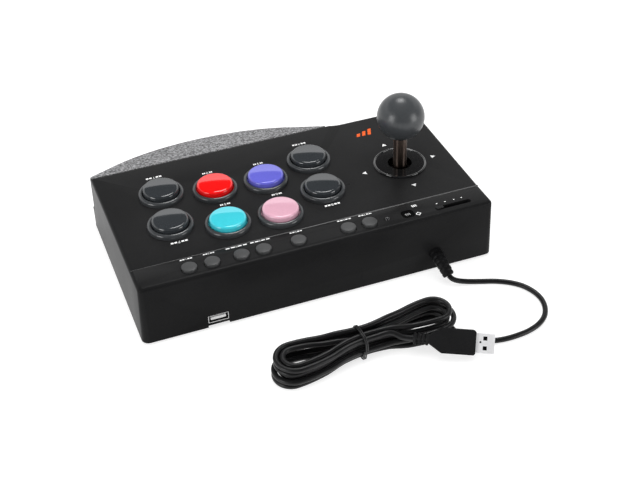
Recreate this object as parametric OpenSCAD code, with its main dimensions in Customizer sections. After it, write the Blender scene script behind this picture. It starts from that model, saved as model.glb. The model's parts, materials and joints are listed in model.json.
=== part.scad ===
// Arcade fight stick: a low wedge housing with a ball-top lever, eight large push
// buttons, a rear strip of small keys, a bowed palm rest and a corded plug.
// Millimetres. +X is the player's right, +Y runs away from the player to the back
// wall, +Z is up. The origin is at the middle of the footprint, on the table.

/* [Housing] */
// Distance from the lever to the nearest front button across the housing
lever_gap = 54.9; // [53:0.1:60]
// Distance of the lowest front button from the straight front edge
front_margin = 38.3; // [34:0.1:42]
// Depth of the palm rest, from the straight front edge to its nose
palm_d = 31; // [28:0.5:35]
// How far the front edge steps back on the lever's side
front_step = 1.6; // [1:0.1:3]
// Height of the housing at the crease before the key strip
crease_h = 40.3; // [39.5:0.1:44]
// Fall of the panel from the crease to the front edge
panel_fall = 2.2; // [1.5:0.1:3]
// Rise of the key strip from the crease to the back edge
strip_rise = 1; // [0.6:0.1:1.6]
// Depth of the key strip behind the crease
strip_d = 22; // [21.5:0.1:24]
// Radius of the upright corners at the foot
corner_r = 4.6; // [4.4:0.1:7]
// Radius of the rounded top edge
edge_r = 2.5; // [1.5:0.1:2.6]
// Draft of the walls
draft_deg = 1.9; // [1:0.1:2]
// Thickness of the side walls
wall_t = 2.5; // [2:0.1:3]
// Thickness of the top panel
panel_t = 2.8; // [2.5:0.1:3]
// Thickness of the base cover
base_t = 2.5; // [2:0.1:3]
// Height of the rubber feet below the housing
foot_h = 1.5; // [1:0.1:3]
// Diameter of the rubber feet
foot_d = 12; // [10:0.5:14]

/* [Palm rest] */
// Radius of the palm rest's bow at the foot
palm_r = 134; // [130:0.5:140]
// Place of the bow's centre across the housing
palm_x = 34.7; // [31:0.1:37]
// Radius of the hollow curve that leads from the straight edge into the bow
sweep_r = 25; // [20:1:30]
// Height of the housing's skirt below the palm rest
skirt_h = 12; // [8:0.5:16]
// Drop from the panel's front edge to the palm rest
palm_drop = 0.9; // [0.7:0.1:3]
// Slope of the palm rest at the panel, in degrees
palm_slope = 10; // [6:0.5:12]
// Extra fall of the palm rest at its nose from its crown
palm_crown = 2; // [1:0.1:3]
// Radius of the palm rest's front lip
lip_r = 5; // [3:0.5:7]
// Thickness of the palm rest's skin
palm_t = 2.6; // [2:0.1:4]

/* [Buttons] */
// Outer diameter of a button's rim
rim_d = 29.4; // [28.6:0.1:30]
// Height of the rim above the panel
rim_h = 3.2; // [2.6:0.1:4]
// Diameter of a button's cap
cap_d = 24; // [23:0.1:24.4]
// Rise of the cap above the rim
cap_rise = 3.5; // [3.1:0.1:4.5]
// Travel of a button
button_travel = 3; // [2:0.1:3]
// Distance between neighbouring buttons of a row
button_pitch = 33.8; // [33:0.1:34.5]
// Distance of the rightmost front button from the right wall's foot
button_side = 39.7; // [39:0.1:42]
// Shift of the back row towards the right
row_shift = 3.4; // [2:0.1:5]
// Distance of the back row's crest from the crease
back_row = 18.9; // [18:0.1:20]
// Distance of the front row's crest from the crease
front_row = 57.5; // [56:0.1:60]
// Drop of the outer buttons of the back row
back_bow = 15; // [13:0.1:16]
// Drop of the outer buttons of the front row
front_bow = 11.2; // [9:0.1:13]

/* [Keys] */
// Diameter of a small key
key_d = 9.7; // [9:0.1:10]
// Rise of a small key above the strip
key_rise = 1.9; // [1.4:0.1:2.4]
// Travel of a small key
key_travel = 0.8; // [0.4:0.1:0.9]
// Distance of the keys' row behind the crease
key_row = 11.5; // [11:0.1:12]

/* [Lever] */
// Distance of the lever from the left wall's foot
lever_side = 38.4; // [37.8:0.1:40]
// Distance of the lever in front of the crease
lever_row = 42.2; // [41:0.1:45]
// Diameter of the lever's hole in the panel
well_d = 24; // [22:0.5:28]
// Diameter of the dust washer that lies on the panel
washer_d = 35.2; // [34:0.1:38]
// Diameter of the ball
ball_d = 31; // [28:0.5:35]
// Height of the ball's centre above the panel
ball_h = 36.6; // [34:0.1:40]
// Diameter of the lever's shaft
shaft_d = 9; // [8:0.1:10]
// Diameter of the shaft's thin ends
spindle_d = 6; // [5.5:0.1:6.2]
// Depth of the pivot below the panel
pivot_depth = 9; // [8.8:0.1:9.6]
// Tilt of the lever to each side
lever_tilt = 12; // [8:0.5:12]

/* [Cord] */
// Diameter of the cord
cord_d = 3.4; // [3.2:0.05:3.5]
// Width of the plug's body
plug_w = 15; // [14:0.1:16]
// Thickness of the plug's body
plug_t = 7.6; // [7:0.1:8]
// Length of the straight part of the plug's body
plug_l = 20; // [18:0.5:22]

/* [Hidden] */

$fn = 64;

// Overrun of every cut past the face it opens
over = 1;
// Clearance between moulded pieces that seat in each other
seat_gap = 0.3;
// Running clearance on a pin's radius
pin_gap = 0.06;

button_rows = 2;
button_columns = 4;
button_count = button_rows * button_columns;
case_w = lever_side + lever_gap + (button_columns - 1) * button_pitch + button_side;
case_d = strip_d + front_row + front_bow + front_margin;
half_w = case_w / 2;
front_h = crease_h - panel_fall;
back_h = crease_h + strip_rise;
palm_h = front_h - palm_drop;
overall_d = case_d + palm_d;
left_d = case_d - front_step;
draft = tan(draft_deg);
wall_in = draft * front_h;
cavity_in = wall_in + wall_t;
panel_tilt = atan((crease_h - front_h) / (case_d - strip_d));
strip_tilt = atan((back_h - crease_h) / (strip_d - wall_in));
groove_w = 1;
groove_deep = 0.35;
front_corner_r = 2.4;
corner_min = 0.3;
edge_steps = 4;

palm_y = palm_r - overall_d;
sweep_y = -left_d - sweep_r;
sweep_x = palm_x - sqrt(pow(palm_r + sweep_r, 2) - pow(sweep_y - palm_y, 2));
sweep_angle = atan2(sweep_y - palm_y, sweep_x - palm_x) + 360;
side_relief = 0.5;
seam_gap = 0.2;

button_x = half_w - button_side;
lever_x = -half_w + lever_side;
front_bow_shares = [1, 0.24, 0, 0.97];
back_bow_shares = [1, 0.19, 0, 0.95];
barrel_wall = 0.7;
lip_over = 0.5;
cap_flange = 0.5;
cap_edge_r = 1.6;
cap_crown = 0.35;
barrel_deep = 7.5;
floor_t = 1.2;
stem_r = 3;
cap_skin = 1.4;
bore_r = cap_d / 2 + cap_flange + seat_gap;
barrel_r = bore_r + barrel_wall;
cap_top = rim_h + cap_rise;
stem_end = -barrel_deep - floor_t - 0.8 * seat_gap;
switch_w = 8;
switch_h = 3.2;
switch_stub = 0.8;
button_stub_top = stem_end - button_travel - seat_gap;
button_board_top = button_stub_top - switch_stub - switch_h;
board_t = 1.6;
spring_r = 6;
spring_wire = 0.9;
spring_turns = 5;

key_count = 7;
key_place_shares = [0.6991, 0.5768, 0.4188, 0.2985, 0.1057, -0.1737, -0.2949];
key_post_shares = [0.795, 0.202, -0.035, -0.613];
key_hang = 3.6;
key_flange_t = 0.8;
key_flange = 1.2;
key_stem = 1.2;
key_stem_r = 1.8;
key_switch_h = 1.9;
key_switch_w = 6;
key_stub = 0.4;
key_stem_end = key_hang + key_flange_t + key_stem;
key_board_top = key_stem_end + key_travel + 0.8 * seat_gap + key_stub + key_switch_h;
key_board_front = 4;
key_board_back = strip_d - cavity_in - seat_gap - (key_board_top + board_t) * sin(strip_tilt);
board_side_gap = 4;

led_place_share = -0.3973;
led_d = 4;
window_place_share = -0.5165;
window_w = 8.4;
window_d = 8;
window_r = 2.5;
window_t = 1.5;
slot_place_share = -0.778;
slot_row = 13.4;
slot_l = 24.6;
slot_w = 3.6;
slider_l = 5;
slider_rise = 0.7;
slider_flange_t = 0.8;

washer_t = 1;
washer_edge = 0.4;
plate_drop = 1.6;
lever_plate_t = 2.5;
lever_post_r = 3.5;
lever_margin = 1;
tube_wall = 3;
micro_w = 8;
micro_h = 6;
micro_deep = 6.14;
micro_tip = 1.4;
actuator_top = -20.5;
actuator_end = -26;
actuator_r = 5.5;
actuator_reach = (-actuator_end - pivot_depth) * sin(lever_tilt) + actuator_r / cos(lever_tilt);
micro_face = actuator_reach + seat_gap + micro_tip;
tube_in = 2 * (micro_face + micro_deep);
tube_w = tube_in + 2 * tube_wall;
lever_post = tube_w / 2 + lever_post_r;
lever_plate_w = 2 * (lever_post + lever_post_r + lever_margin);
plate_top = -panel_t - plate_drop;
tube_end = -28;
gimbal_x = 12;
gimbal_y = 9.5;
gimbal_half_h = 2.6;
gimbal_in_x = 7.5;
gimbal_in_y = 6;
gimbal_pin_r = 2;
cross_pin_r = 1.8;
gate_t = 2;
shaft_end = tube_end - gate_t - 1.2;
shoulder = -14;
ball_flat = 0.6;
lever_coil_r = 4.9;
lever_wire = 0.9;
lever_coil_turns = 5;
diagonal = sqrt(2);
washer_reach = pivot_depth + washer_t;

screw_d = 2.4;
screw_head_d = 5.4;
screw_head_t = 1.3;
screw_bite = 9;
pilot_d = screw_d + 0.2;
boss_r = 3.6;
post_r = 2.6;

port_x = 69.2;
port_w = 13.1;
port_h = 5.8;
port_l = 14;
port_z = 2.7;
port_wall = 0.4;
notch_side = 0.3;
notch_h = 1.5;
main_board_z = port_z + port_h + 0.3;
main_board_w = 50;
main_board_d = 36;

grip_x = -76.3;
grip_z = 12;
grip_r = 4.1;
grip_tip_r = 3.3;
grip_ribs = 5;
grip_rib = 0.4;
grip_neck_r = 3;
grip_flange_r = 5;
grip_flange_t = 1.6;
grip_past = 1.2;

// Sits what follows in the housing's own frame: back wall's foot at y 0, foot at z 0
module in_case() {
    translate([0, overall_d / 2, foot_h]) children();
}

// Sits what follows on the panel, x across, -y towards the player, z out of it
module on_panel() {
    in_case() translate([0, -strip_d, crease_h]) rotate([panel_tilt, 0, 0]) children();
}

// Sits what follows on the key strip, y behind the crease
module on_strip() {
    in_case() translate([0, -strip_d, crease_h]) rotate([strip_tilt, 0, 0]) children();
}

module on_lever() {
    on_panel() translate([lever_x, -lever_row, 0]) children();
}

function arc(c, r, from, to, steps) = [
    for (i = [0 : steps])
        let (a = from + (to - from) * i / steps)
        [c[0] + r * cos(a), c[1] + r * sin(a)]
];
function flat_list(v) = [for (part = v) each part];
function unit(v) = v / norm(v);

// Upright corners at the back, shared by every outline
function back_corners(inset) = concat(
    arc([half_w - corner_r, -corner_r], corner_r - inset, 0, 90, 5),
    arc([-half_w + corner_r, -corner_r], corner_r - inset, 90, 180, 5)
);
function crease_point(side, inset) = [[side * (half_w - inset), -strip_d]];
function front_left_corner(inset) =
    arc([-half_w + corner_r, -left_d + corner_r], corner_r - inset, 180, 270, 5);

function front_right_corner(inset) =
    let (r = max(front_corner_r - inset, corner_min))
    arc([half_w - inset - r, -case_d + inset + r], r, 270, 360, 5);

// Outline of the upper box: straight front edge with a step on the lever's side
function box_outline(inset) = concat(
    back_corners(inset),
    crease_point(-1, inset),
    front_left_corner(inset),
    arc([sweep_x, sweep_y], sweep_r + inset, 90, asin(1 - front_step / (sweep_r + inset)), 5),
    front_right_corner(inset),
    crease_point(1, inset)
);

// Right end of the bow: a corner that is tangent to the side and to the bow
function bow_corner_x(side) = half_w - side - corner_r;
function bow_corner_y(side) =
    palm_y - sqrt(pow(palm_r - corner_r, 2) - pow(bow_corner_x(side) - palm_x, 2));
function bow_front(inset, side) =
    let (
        cx = bow_corner_x(side),
        cy = bow_corner_y(side),
        to = atan2(cy - palm_y, cx - palm_x) + 360
    )
    concat(
        arc([sweep_x, sweep_y], sweep_r + inset, 90, sweep_angle - 180, 5),
        arc([palm_x, palm_y], palm_r - inset, sweep_angle, to, 26),
        arc([cx, cy], corner_r - inset, to, 360, 4)
    );

// Outline of the whole footprint
function full_outline(inset) =
    concat(back_corners(inset), front_left_corner(inset), bow_front(inset, 0));

// Solid through rings of points that run anticlockwise round the way they go
module skin(rings, cap_from = 0) {
    n = len(rings[0]);
    m = len(rings);
    sides = [
        for (k = [0 : m - 2], i = [0 : n - 1])
            let (a = k * n + i, b = k * n + (i + 1) % n)
            each [[a, a + n, b + n], [a, b + n, b]]
    ];
    ends = [
        [for (i = [0 : n - 1]) (i + cap_from) % n],
        [for (i = [n - 1 : -1 : 0]) (m - 1) * n + (i + cap_from) % n]
    ];
    polyhedron(points = flat_list(rings), faces = concat(ends, sides), convexity = 6);
}

function top_z(y) =
    crease_h + (y + strip_d) * tan(y > -strip_d ? strip_tilt : panel_tilt);

function box_ring(inset, drop) = [for (p = box_outline(inset)) [p[0], p[1], top_z(p[1]) - drop]];
function edge_ring(a) = box_ring(wall_in + edge_r * (1 - cos(a)), edge_r * (1 - sin(a)));
// The rounded edge's last facet runs on past the top, where the top profile cuts it
last_edge = 90 - 90 / edge_steps;
edge_past = 0.4;
past_in = wall_in + edge_r * (1 + edge_past * cos(last_edge));
box_rings = concat(
    [[for (p = box_outline(0)) [p[0], p[1], 0]]],
    [for (k = [0 : edge_steps - 1]) edge_ring(90 * k / edge_steps)],
    [box_ring(past_in, -edge_r * edge_past * (1 - sin(last_edge)))],
    [[for (p = box_outline(past_in)) [p[0], p[1], back_h + edge_r]]]
);

// Side profile with the crease's groove, run across the housing
module top_profile() {
    g = groove_w / 2;
    translate([-half_w - over, 0, 0]) rotate([90, 0, 90]) linear_extrude(height = case_w + 2 * over) polygon([
        [-2 * case_d, -over], [over, -over], [over, top_z(over)], [g - strip_d, top_z(g - strip_d)],
        [-strip_d, crease_h - groove_deep], [-g - strip_d, top_z(-g - strip_d)],
        [-2 * case_d, top_z(-2 * case_d)]
    ]);
}
module box_form() {
    intersection() {
        skin(box_rings, 3);
        top_profile();
    }
}

// Keeps what follows below a plane that lies deep under the panel
module under_panel(deep) {
    intersection() {
        children();
        translate([0, -strip_d, crease_h]) rotate([panel_tilt, 0, 0])
            translate([-case_w, -2 * overall_d, -deep - 2 * case_w])
            cube([2 * case_w, 3 * overall_d, 2 * case_w]);
    }
}

boss_shares = [[0.931, 0.233], [-0.931, 0.233], [0.931, 0.868], [-0.931, 0.868], [0, 0.915]];
boss_places = [for (s = boss_shares) [s[0] * half_w, -s[1] * case_d]];
function between_buttons(i) = (
    button_place(i) + button_place(i + 1) + button_place(i + button_columns)
    + button_place(i + button_columns + 1)
) / 4;
board_margin = 17.5;
board_right = button_x + row_shift + board_margin;
board_left = button_x - (button_columns - 1) * button_pitch - board_margin;
board_front = -front_row - front_bow - board_margin;
board_back = -back_row + board_margin - 1.5 * seat_gap;
post_inset = 4;
post_row = -(front_row + front_bow + back_row + back_bow) / 2;
board_posts = concat(
    [for (i = [0 : button_columns - 2]) between_buttons(i)],
    [[board_left + post_inset, post_row], [board_right - post_inset, post_row]]
);
key_posts = [for (s = key_post_shares) [s * half_w, key_row]];
lever_posts = [for (sx = [-1, 1], sy = [-1, 1]) [sx * lever_post, sy * lever_post]];

// Centre of button i on the panel: 0 to 3 are the front row, from the player's right
function button_place(i) =
    i < button_columns
        ? [button_x - i * button_pitch, -front_row - front_bow * front_bow_shares[i]]
        : let (j = i - button_columns)
          [button_x + row_shift - j * button_pitch, -back_row - back_bow * back_bow_shares[j]];
module at_button(i) {
    on_panel() translate([button_place(i)[0], button_place(i)[1], 0]) children();
}
module at_key(i) {
    on_strip() translate([key_place_shares[i] * half_w, key_row, 0]) children();
}

module rounded_box(w, d, h, r) {
    linear_extrude(height = h) rounded_plan(w, d, r);
}
module rounded_plan(w, d, r) {
    polygon(concat(
        arc([w / 2 - r, d / 2 - r], r, 0, 90, 5),
        arc([-w / 2 + r, d / 2 - r], r, 90, 180, 5),
        arc([-w / 2 + r, -d / 2 + r], r, 180, 270, 5),
        arc([w / 2 - r, -d / 2 + r], r, 270, 360, 5)
    ));
}

module upper_case() {
    color([0.045, 0.045, 0.047])
    difference() {
        union() {
            in_case() difference() {
                union() {
                    box_form();
                    linear_extrude(height = skirt_h) polygon(concat(
                        bow_front(0, side_relief),
                        [[half_w - side_relief, -left_d + corner_r], [sweep_x, -left_d + corner_r]]
                    ));
                }
                under_panel(panel_t)
                    translate([0, 0, -over]) linear_extrude(height = crease_h + back_h)
                    polygon(box_outline(cavity_in));
                translate([0, 0, -over]) linear_extrude(height = skirt_h - wall_t + over)
                    polygon(full_outline(cavity_in));
            }
            for (p = boss_places) {
                in_case() translate([p[0], p[1], base_t])
                    cylinder(r = boss_r, h = top_z(p[1]) - panel_t / 2 - base_t);
            }
            for (p = board_posts) {
                on_panel() translate([p[0], p[1], button_board_top])
                    cylinder(r = post_r, h = -button_board_top - panel_t / 2);
            }
            for (p = key_posts) {
                on_strip() translate([p[0], p[1], -key_board_top])
                    cylinder(r = post_r, h = key_board_top - panel_t / 2);
            }
            for (p = lever_posts) {
                on_lever() translate([p[0], p[1], plate_top])
                    cylinder(r = lever_post_r, h = -plate_top - panel_t / 2);
            }
        }
        for (i = [0 : button_count - 1]) {
            at_button(i) translate([0, 0, -panel_t - over])
                cylinder(r = barrel_r + seat_gap / 2, h = panel_t + 2 * over);
        }
        for (i = [0 : key_count - 1]) {
            at_key(i) translate([0, 0, -key_hang - over])
                cylinder(r = key_d / 2 + seat_gap, h = key_hang + 2 * over);
        }
        on_lever() translate([0, 0, -panel_t - over]) cylinder(d = well_d, h = panel_t + 2 * over);
        on_strip() {
            translate([led_place_share * half_w, key_row, -key_hang - over])
                cylinder(d = led_d, h = key_hang + 2 * over);
            translate([window_place_share * half_w, key_row, -key_hang - over])
                rounded_box(window_w, window_d, key_hang + 2 * over, window_r);
            translate([slot_place_share * half_w, slot_row, -key_hang - over])
                rounded_box(slot_l, slot_w, key_hang + 2 * over, slot_w / 2 - seat_gap / 2);
        }
        for (p = boss_places) {
            in_case() translate([p[0], p[1], base_t - over]) cylinder(d = pilot_d, h = screw_bite + over);
        }
        for (p = lever_posts) {
            on_lever() translate([p[0], p[1], plate_top - over])
                cylinder(d = pilot_d, h = -plate_top - panel_t / 2 + over);
        }
        in_case() {
            // Mouth of the port and the shallow notch below it
            translate([port_x - port_w / 2 - seat_gap / 2, -cavity_in - over, port_z - seat_gap / 2])
                cube([port_w + seat_gap, cavity_in + 2 * over, port_h + seat_gap]);
            translate([port_x - port_w / 2 - notch_side, -cavity_in - over, -over])
                cube([port_w + 2 * notch_side, cavity_in + 2 * over, notch_h + over]);
            translate([grip_x, over, grip_z]) rotate([90, 0, 0])
                cylinder(r = grip_neck_r + seat_gap / 2, h = cavity_in + 2 * over);
        }
    }
}

foot_shares = [[0.8, 0.12], [-0.8, 0.12], [0.8, 0.9], [-0.8, 0.9], [0.288, 1.09]];
foot_places = [for (s = foot_shares) [s[0] * half_w, -s[1] * case_d]];
foot_seat = 0.5;
rib_h = 2.5;
rib_t = 1.6;
main_board_x = port_x + 6;
main_board_y = -cavity_in - seat_gap - main_board_d / 2;
main_posts = [
    for (sx = [-1, 1], sy = [-1, 0.2])
        [main_board_x + sx * (main_board_w / 2 - post_r), main_board_y + sy * (main_board_d / 2 - post_r)]
];

module base_cover() {
    color([0.06, 0.06, 0.062])
    in_case() difference() {
        union() {
            linear_extrude(height = base_t) polygon(full_outline(cavity_in + seat_gap));
            // Stiffening ribs across the cover
            for (share = [0.3, 0.78]) {
                translate([-0.72 * half_w, -share * case_d - rib_t / 2, base_t - over])
                    cube([1.1 * half_w, rib_t, rib_h + over]);
            }
            for (p = main_posts) {
                translate([p[0], p[1], base_t - over]) cylinder(r = post_r, h = main_board_z - base_t + over);
            }
        }
        for (p = boss_places) {
            translate([p[0], p[1], -over]) cylinder(d = screw_d + 2 * seat_gap, h = base_t + 2 * over);
            translate([p[0], p[1], -over]) cylinder(d = screw_head_d + 2 * seat_gap, h = screw_head_t + over);
        }
        for (p = foot_places) {
            translate([p[0], p[1], -over]) cylinder(d = foot_d + seat_gap, h = foot_seat + over);
        }
        translate([port_x - port_w / 2 - notch_side, -port_l - wall_t - over, -over])
            cube([port_w + 2 * notch_side, port_l + wall_t + 2 * over, base_t + 2 * over]);
    }
}

// Front edge of the palm rest at a place across the housing
function bow_y(x, inset) =
    let (
        join = sweep_x + sweep_r * cos(sweep_angle - 180),
        corner = [bow_corner_x(0), bow_corner_y(0)],
        turn = palm_x + (palm_r - inset) * unit(corner - [palm_x, palm_y])[0]
    )
    x < join ? sweep_y + sqrt(pow(sweep_r + inset, 2) - pow(x - sweep_x, 2))
    : x < turn ? palm_y - sqrt(pow(palm_r - inset, 2) - pow(x - palm_x, 2))
    : corner[1] - sqrt(pow(corner_r - inset, 2) - pow(x - corner[0], 2));
palm_end = 1.2;
palm_edge = 0.1;
seam_y = -case_d + wall_in - seam_gap;
palm_left = sweep_x + sqrt(pow(sweep_r, 2) - pow(sweep_r - front_step - palm_end, 2));
palm_right = half_w - wall_in - palm_edge;
palm_steps = 26;
palm_rows = 7;
lip_steps = 5;
function palm_z(depth) = palm_h - tan(palm_slope) * depth - palm_crown * pow(depth / palm_d, 2);

// Section of the palm rest across the bow, run anticlockwise seen along +X
function palm_section(x) =
    let (
        rim_top = bow_y(x, wall_in),
        rim_foot = bow_y(x, draft * skirt_h),
        depth = seam_y - rim_top,
        lip = min(lip_r, 0.45 * depth),
        lip_z = palm_z(depth - lip) - lip * (1 + tan(palm_slope))
    )
    concat(
        [[x, draft * skirt_h - case_d - seam_gap, skirt_h + seam_gap]],
        [for (i = [0 : palm_rows]) let (t = (depth - lip) * i / palm_rows) [x, seam_y - t, palm_z(t)]],
        [
            for (i = [1 : lip_steps])
                let (a = 90 * i / lip_steps, flat_z = palm_z(depth - lip))
                [x, rim_top + lip - lip * sin(a), lip_z + (flat_z - lip_z) * cos(a)]
        ],
        [[x, rim_foot, skirt_h + seam_gap]]
    );

module palm_rest() {
    color([0.33, 0.33, 0.34])
    in_case() difference() {
        skin([
            for (i = [0 : palm_steps])
                let (s = (1 - cos(180 * i / palm_steps)) / 2)
                palm_section(palm_left + (palm_right - palm_left) * s)
        ]);
        // The rest is a hollow moulding, open below
        intersection() {
            translate([0, 0, -over]) linear_extrude(height = palm_z(palm_d) - palm_t - lip_r / 2 + over)
                polygon(bow_front(wall_in + palm_t, wall_in + palm_t));
            translate([-case_w, -2 * case_d, -over]) cube([2 * case_w, case_d + seam_y + case_d - palm_t, case_w]);
        }
    }
}

module button_bezel(i) {
    r = rim_d / 2;
    color([0.12, 0.12, 0.125])
    at_button(i) rotate_extrude() polygon(concat(
        [
            [stem_r + seat_gap, -barrel_deep - floor_t], [barrel_r, -barrel_deep - floor_t],
            [barrel_r, 0], [r, 0]
        ],
        arc([r - rim_h / 2, rim_h / 2], rim_h / 2, 0, 90, 5),
        [
            [bore_r, rim_h], [cap_d / 2 + seat_gap, rim_h - lip_over],
            [cap_d / 2 + seat_gap, lip_over], [bore_r, lip_over],
            [bore_r, -barrel_deep], [stem_r + seat_gap, -barrel_deep]
        ]
    ));
}

button_colours = [
    [0.16, 0.18, 0.19], [0.85, 0.02, 0.02], [0.3, 0.25, 0.75], [0.16, 0.18, 0.19],
    [0.16, 0.18, 0.19], [0.1, 0.7, 0.75], [0.8, 0.5, 0.62], [0.16, 0.18, 0.19]
];
module button_cap(i) {
    r = cap_d / 2;
    color(button_colours[i])
    at_button(i) rotate_extrude() polygon(concat(
        [[0, stem_end], [stem_r, stem_end], [stem_r, rim_h], [r - cap_skin, rim_h]],
        [[r - cap_skin, -button_travel / 2], [r + cap_flange, -button_travel / 2]],
        [[r + cap_flange, lip_over - seat_gap], [r, lip_over - seat_gap]],
        arc([r - cap_edge_r, cap_top - cap_crown - cap_edge_r], cap_edge_r, 0, 90, 5),
        [[r / 2, cap_top - cap_crown / 4], [0, cap_top]]
    ));
}

// Points of a coil about the z axis, eight rings a turn
function coil(r, from, to, turns) = [
    for (i = [0 : 8 * turns])
        let (a = 45 * i)
        [r * cos(a), r * sin(a), from + (to - from) * i / (8 * turns)]
];

// Round tube along points: its rings stand square to the way through each point
function run_way(p, i) = unit(p[min(i + 1, len(p) - 1)] - p[max(i - 1, 0)]);
function tube_ring(c, way, r, sides) =
    let (
        side = unit(cross([0, 0, 1], way)),
        up = cross(way, side),
        step = 360 / sides
    )
    [for (j = [0 : sides - 1]) let (a = 270 - step / 2 + j * step) c + r * (cos(a) * side + sin(a) * up)];
module tube(p, r, sides) {
    skin([for (i = [0 : len(p) - 1]) tube_ring(p[i], run_way(p, i), r, sides)]);
}

module button_spring(i) {
    foot = -barrel_deep + spring_wire / 2 + 0.1 * seat_gap;
    head = rim_h - spring_wire / 2 - 0.1 * seat_gap;
    color([0.7, 0.7, 0.72])
    at_button(i) tube(coil(spring_r, foot, head, spring_turns), spring_wire / 2, 4);
}

module board_plan(x0, x1, y0, y1) {
    translate([(x0 + x1) / 2, (y0 + y1) / 2, 0]) rounded_box(x1 - x0, y1 - y0, board_t, 2);
}

module button_board() {
    color([0.03, 0.16, 0.08])
    on_panel() translate([0, 0, button_board_top - board_t])
        board_plan(board_left, board_right, board_front, board_back);
}

module tact_switches() {
    color([0.1, 0.1, 0.1]) {
        for (i = [0 : button_count - 1]) {
            at_button(i) {
                translate([-switch_w / 2, -switch_w / 2, button_board_top]) cube([switch_w, switch_w, switch_h]);
                translate([0, 0, button_board_top]) cylinder(r = 2, h = switch_h + switch_stub);
            }
        }
        for (i = [0 : key_count - 1]) {
            at_key(i) {
                translate([-key_switch_w / 2, -key_switch_w / 2, -key_board_top])
                    cube([key_switch_w, key_switch_w, key_switch_h]);
                translate([0, 0, -key_board_top]) cylinder(r = key_stem_r, h = key_switch_h + key_stub);
            }
        }
    }
}

module key(i) {
    r = key_d / 2;
    color([0.13, 0.13, 0.135])
    at_key(i) rotate_extrude() polygon(concat(
        [[0, -key_stem_end], [key_stem_r, -key_stem_end], [key_stem_r, -key_hang - key_flange_t]],
        [[r + key_flange, -key_hang - key_flange_t], [r + key_flange, -key_hang], [r, -key_hang]],
        arc([r - key_rise / 3, key_rise * 2 / 3], key_rise / 3, 0, 90, 4),
        [[0, key_rise]]
    ));
}

module key_board() {
    left = -half_w + cavity_in + board_side_gap / 2;
    right = 0.83 * half_w;
    body_h = key_board_top - key_stem_end - seat_gap;
    color([0.03, 0.16, 0.08])
    on_strip() {
        translate([0, 0, -key_board_top - board_t])
            board_plan(left, right, key_board_front, key_board_back);
        // Body of the slide switch below the slot
        translate([slot_place_share * half_w - slot_l / 2, slot_row - slot_w, -key_board_top - board_t / 2])
            cube([slot_l, 2 * slot_w - seat_gap, body_h + board_t / 2]);
    }
}

module mode_window() {
    color([0.015, 0.015, 0.017])
    on_strip() translate([window_place_share * half_w, key_row, 0]) {
        translate([0, 0, -key_hang - window_t / 2])
            rounded_box(window_w - seat_gap, window_d - seat_gap, key_hang + window_t / 2 - seat_gap / 2, window_r - seat_gap / 2);
        translate([0, 0, -key_hang - window_t])
            rounded_box(window_w + window_t, window_d + window_t, window_t, window_r);
    }
}

slider_rest = slot_place_share * half_w + slot_l / 2 - seat_gap - slider_l / 2;
slider_travel = slot_l - slider_l - 2 * seat_gap;
module mode_slider() {
    wide = slot_w - 2 * seat_gap;
    color([0.09, 0.09, 0.095])
    on_strip() translate([slider_rest, slot_row, 0]) {
        translate([0, 0, -key_stem_end]) rounded_box(slider_l, wide, key_stem_end + slider_rise, wide / 3);
        translate([0, 0, -key_hang - slider_flange_t])
            rounded_box(slider_l + slot_w, slot_w + 2 * slider_flange_t, slider_flange_t, wide / 3);
    }
}

module status_led() {
    r = led_d / 2 - seat_gap / 2;
    color([0.25, 0.25, 0.26])
    on_strip() translate([led_place_share * half_w, key_row, 0]) rotate_extrude() polygon(concat(
        [[0, -key_board_top], [r + key_flange / 2, -key_board_top], [r + key_flange / 2, -key_hang]],
        [[r, -key_hang]],
        arc([0, -r / 3], r, 20, 90, 5)
    ));
}

module usb_port_shell() {
    color([0.78, 0.78, 0.8])
    in_case() translate([port_x, -wall_in / 2 - port_l, port_z + port_h / 2]) rotate([-90, 0, 0])
    difference() {
        rounded_box(port_w, port_h, port_l, 0.6);
        translate([0, 0, port_wall * 2])
            rounded_box(port_w - 2 * port_wall, port_h - 2 * port_wall, port_l, 0.3);
    }
}

tongue_w = 11.1;
tongue_t = 2;
tongue_l = 12.8;
module usb_port_tongue() {
    color([0.85, 0.85, 0.86])
    in_case() translate([port_x - tongue_w / 2, -wall_in / 2 - port_l + 2 * port_wall, port_z + port_h / 2 + port_wall])
        cube([tongue_w, tongue_l, tongue_t]);
}

module main_board() {
    chip = 9;
    color([0.03, 0.16, 0.08])
    in_case() {
        translate([main_board_x, main_board_y, main_board_z]) rounded_box(main_board_w, main_board_d, board_t, 1.5);
        translate([main_board_x, main_board_y - chip, main_board_z + board_t / 2])
            rounded_box(chip, chip, board_t + board_t / 2, 0.4);
    }
}

module lever_housing() {
    color([0.09, 0.09, 0.1])
    on_lever() difference() {
        union() {
            translate([0, 0, plate_top - lever_plate_t])
                rounded_box(lever_plate_w, lever_plate_w, lever_plate_t, lever_post_r);
            translate([0, 0, tube_end]) rounded_box(tube_w, tube_w, plate_top - tube_end - lever_plate_t / 2, 2);
        }
        translate([-tube_in / 2, -tube_in / 2, tube_end - over])
            cube([tube_in, tube_in, plate_top - tube_end + 2 * over]);
        translate([-tube_w, 0, -pivot_depth]) rotate([0, 90, 0])
            cylinder(r = gimbal_pin_r + pin_gap, h = 2 * tube_w);
        for (p = lever_posts) {
            translate([p[0], p[1], plate_top - lever_plate_t - over])
                cylinder(d = screw_d + 2 * seat_gap, h = lever_plate_t + 2 * over);
        }
    }
}

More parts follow.
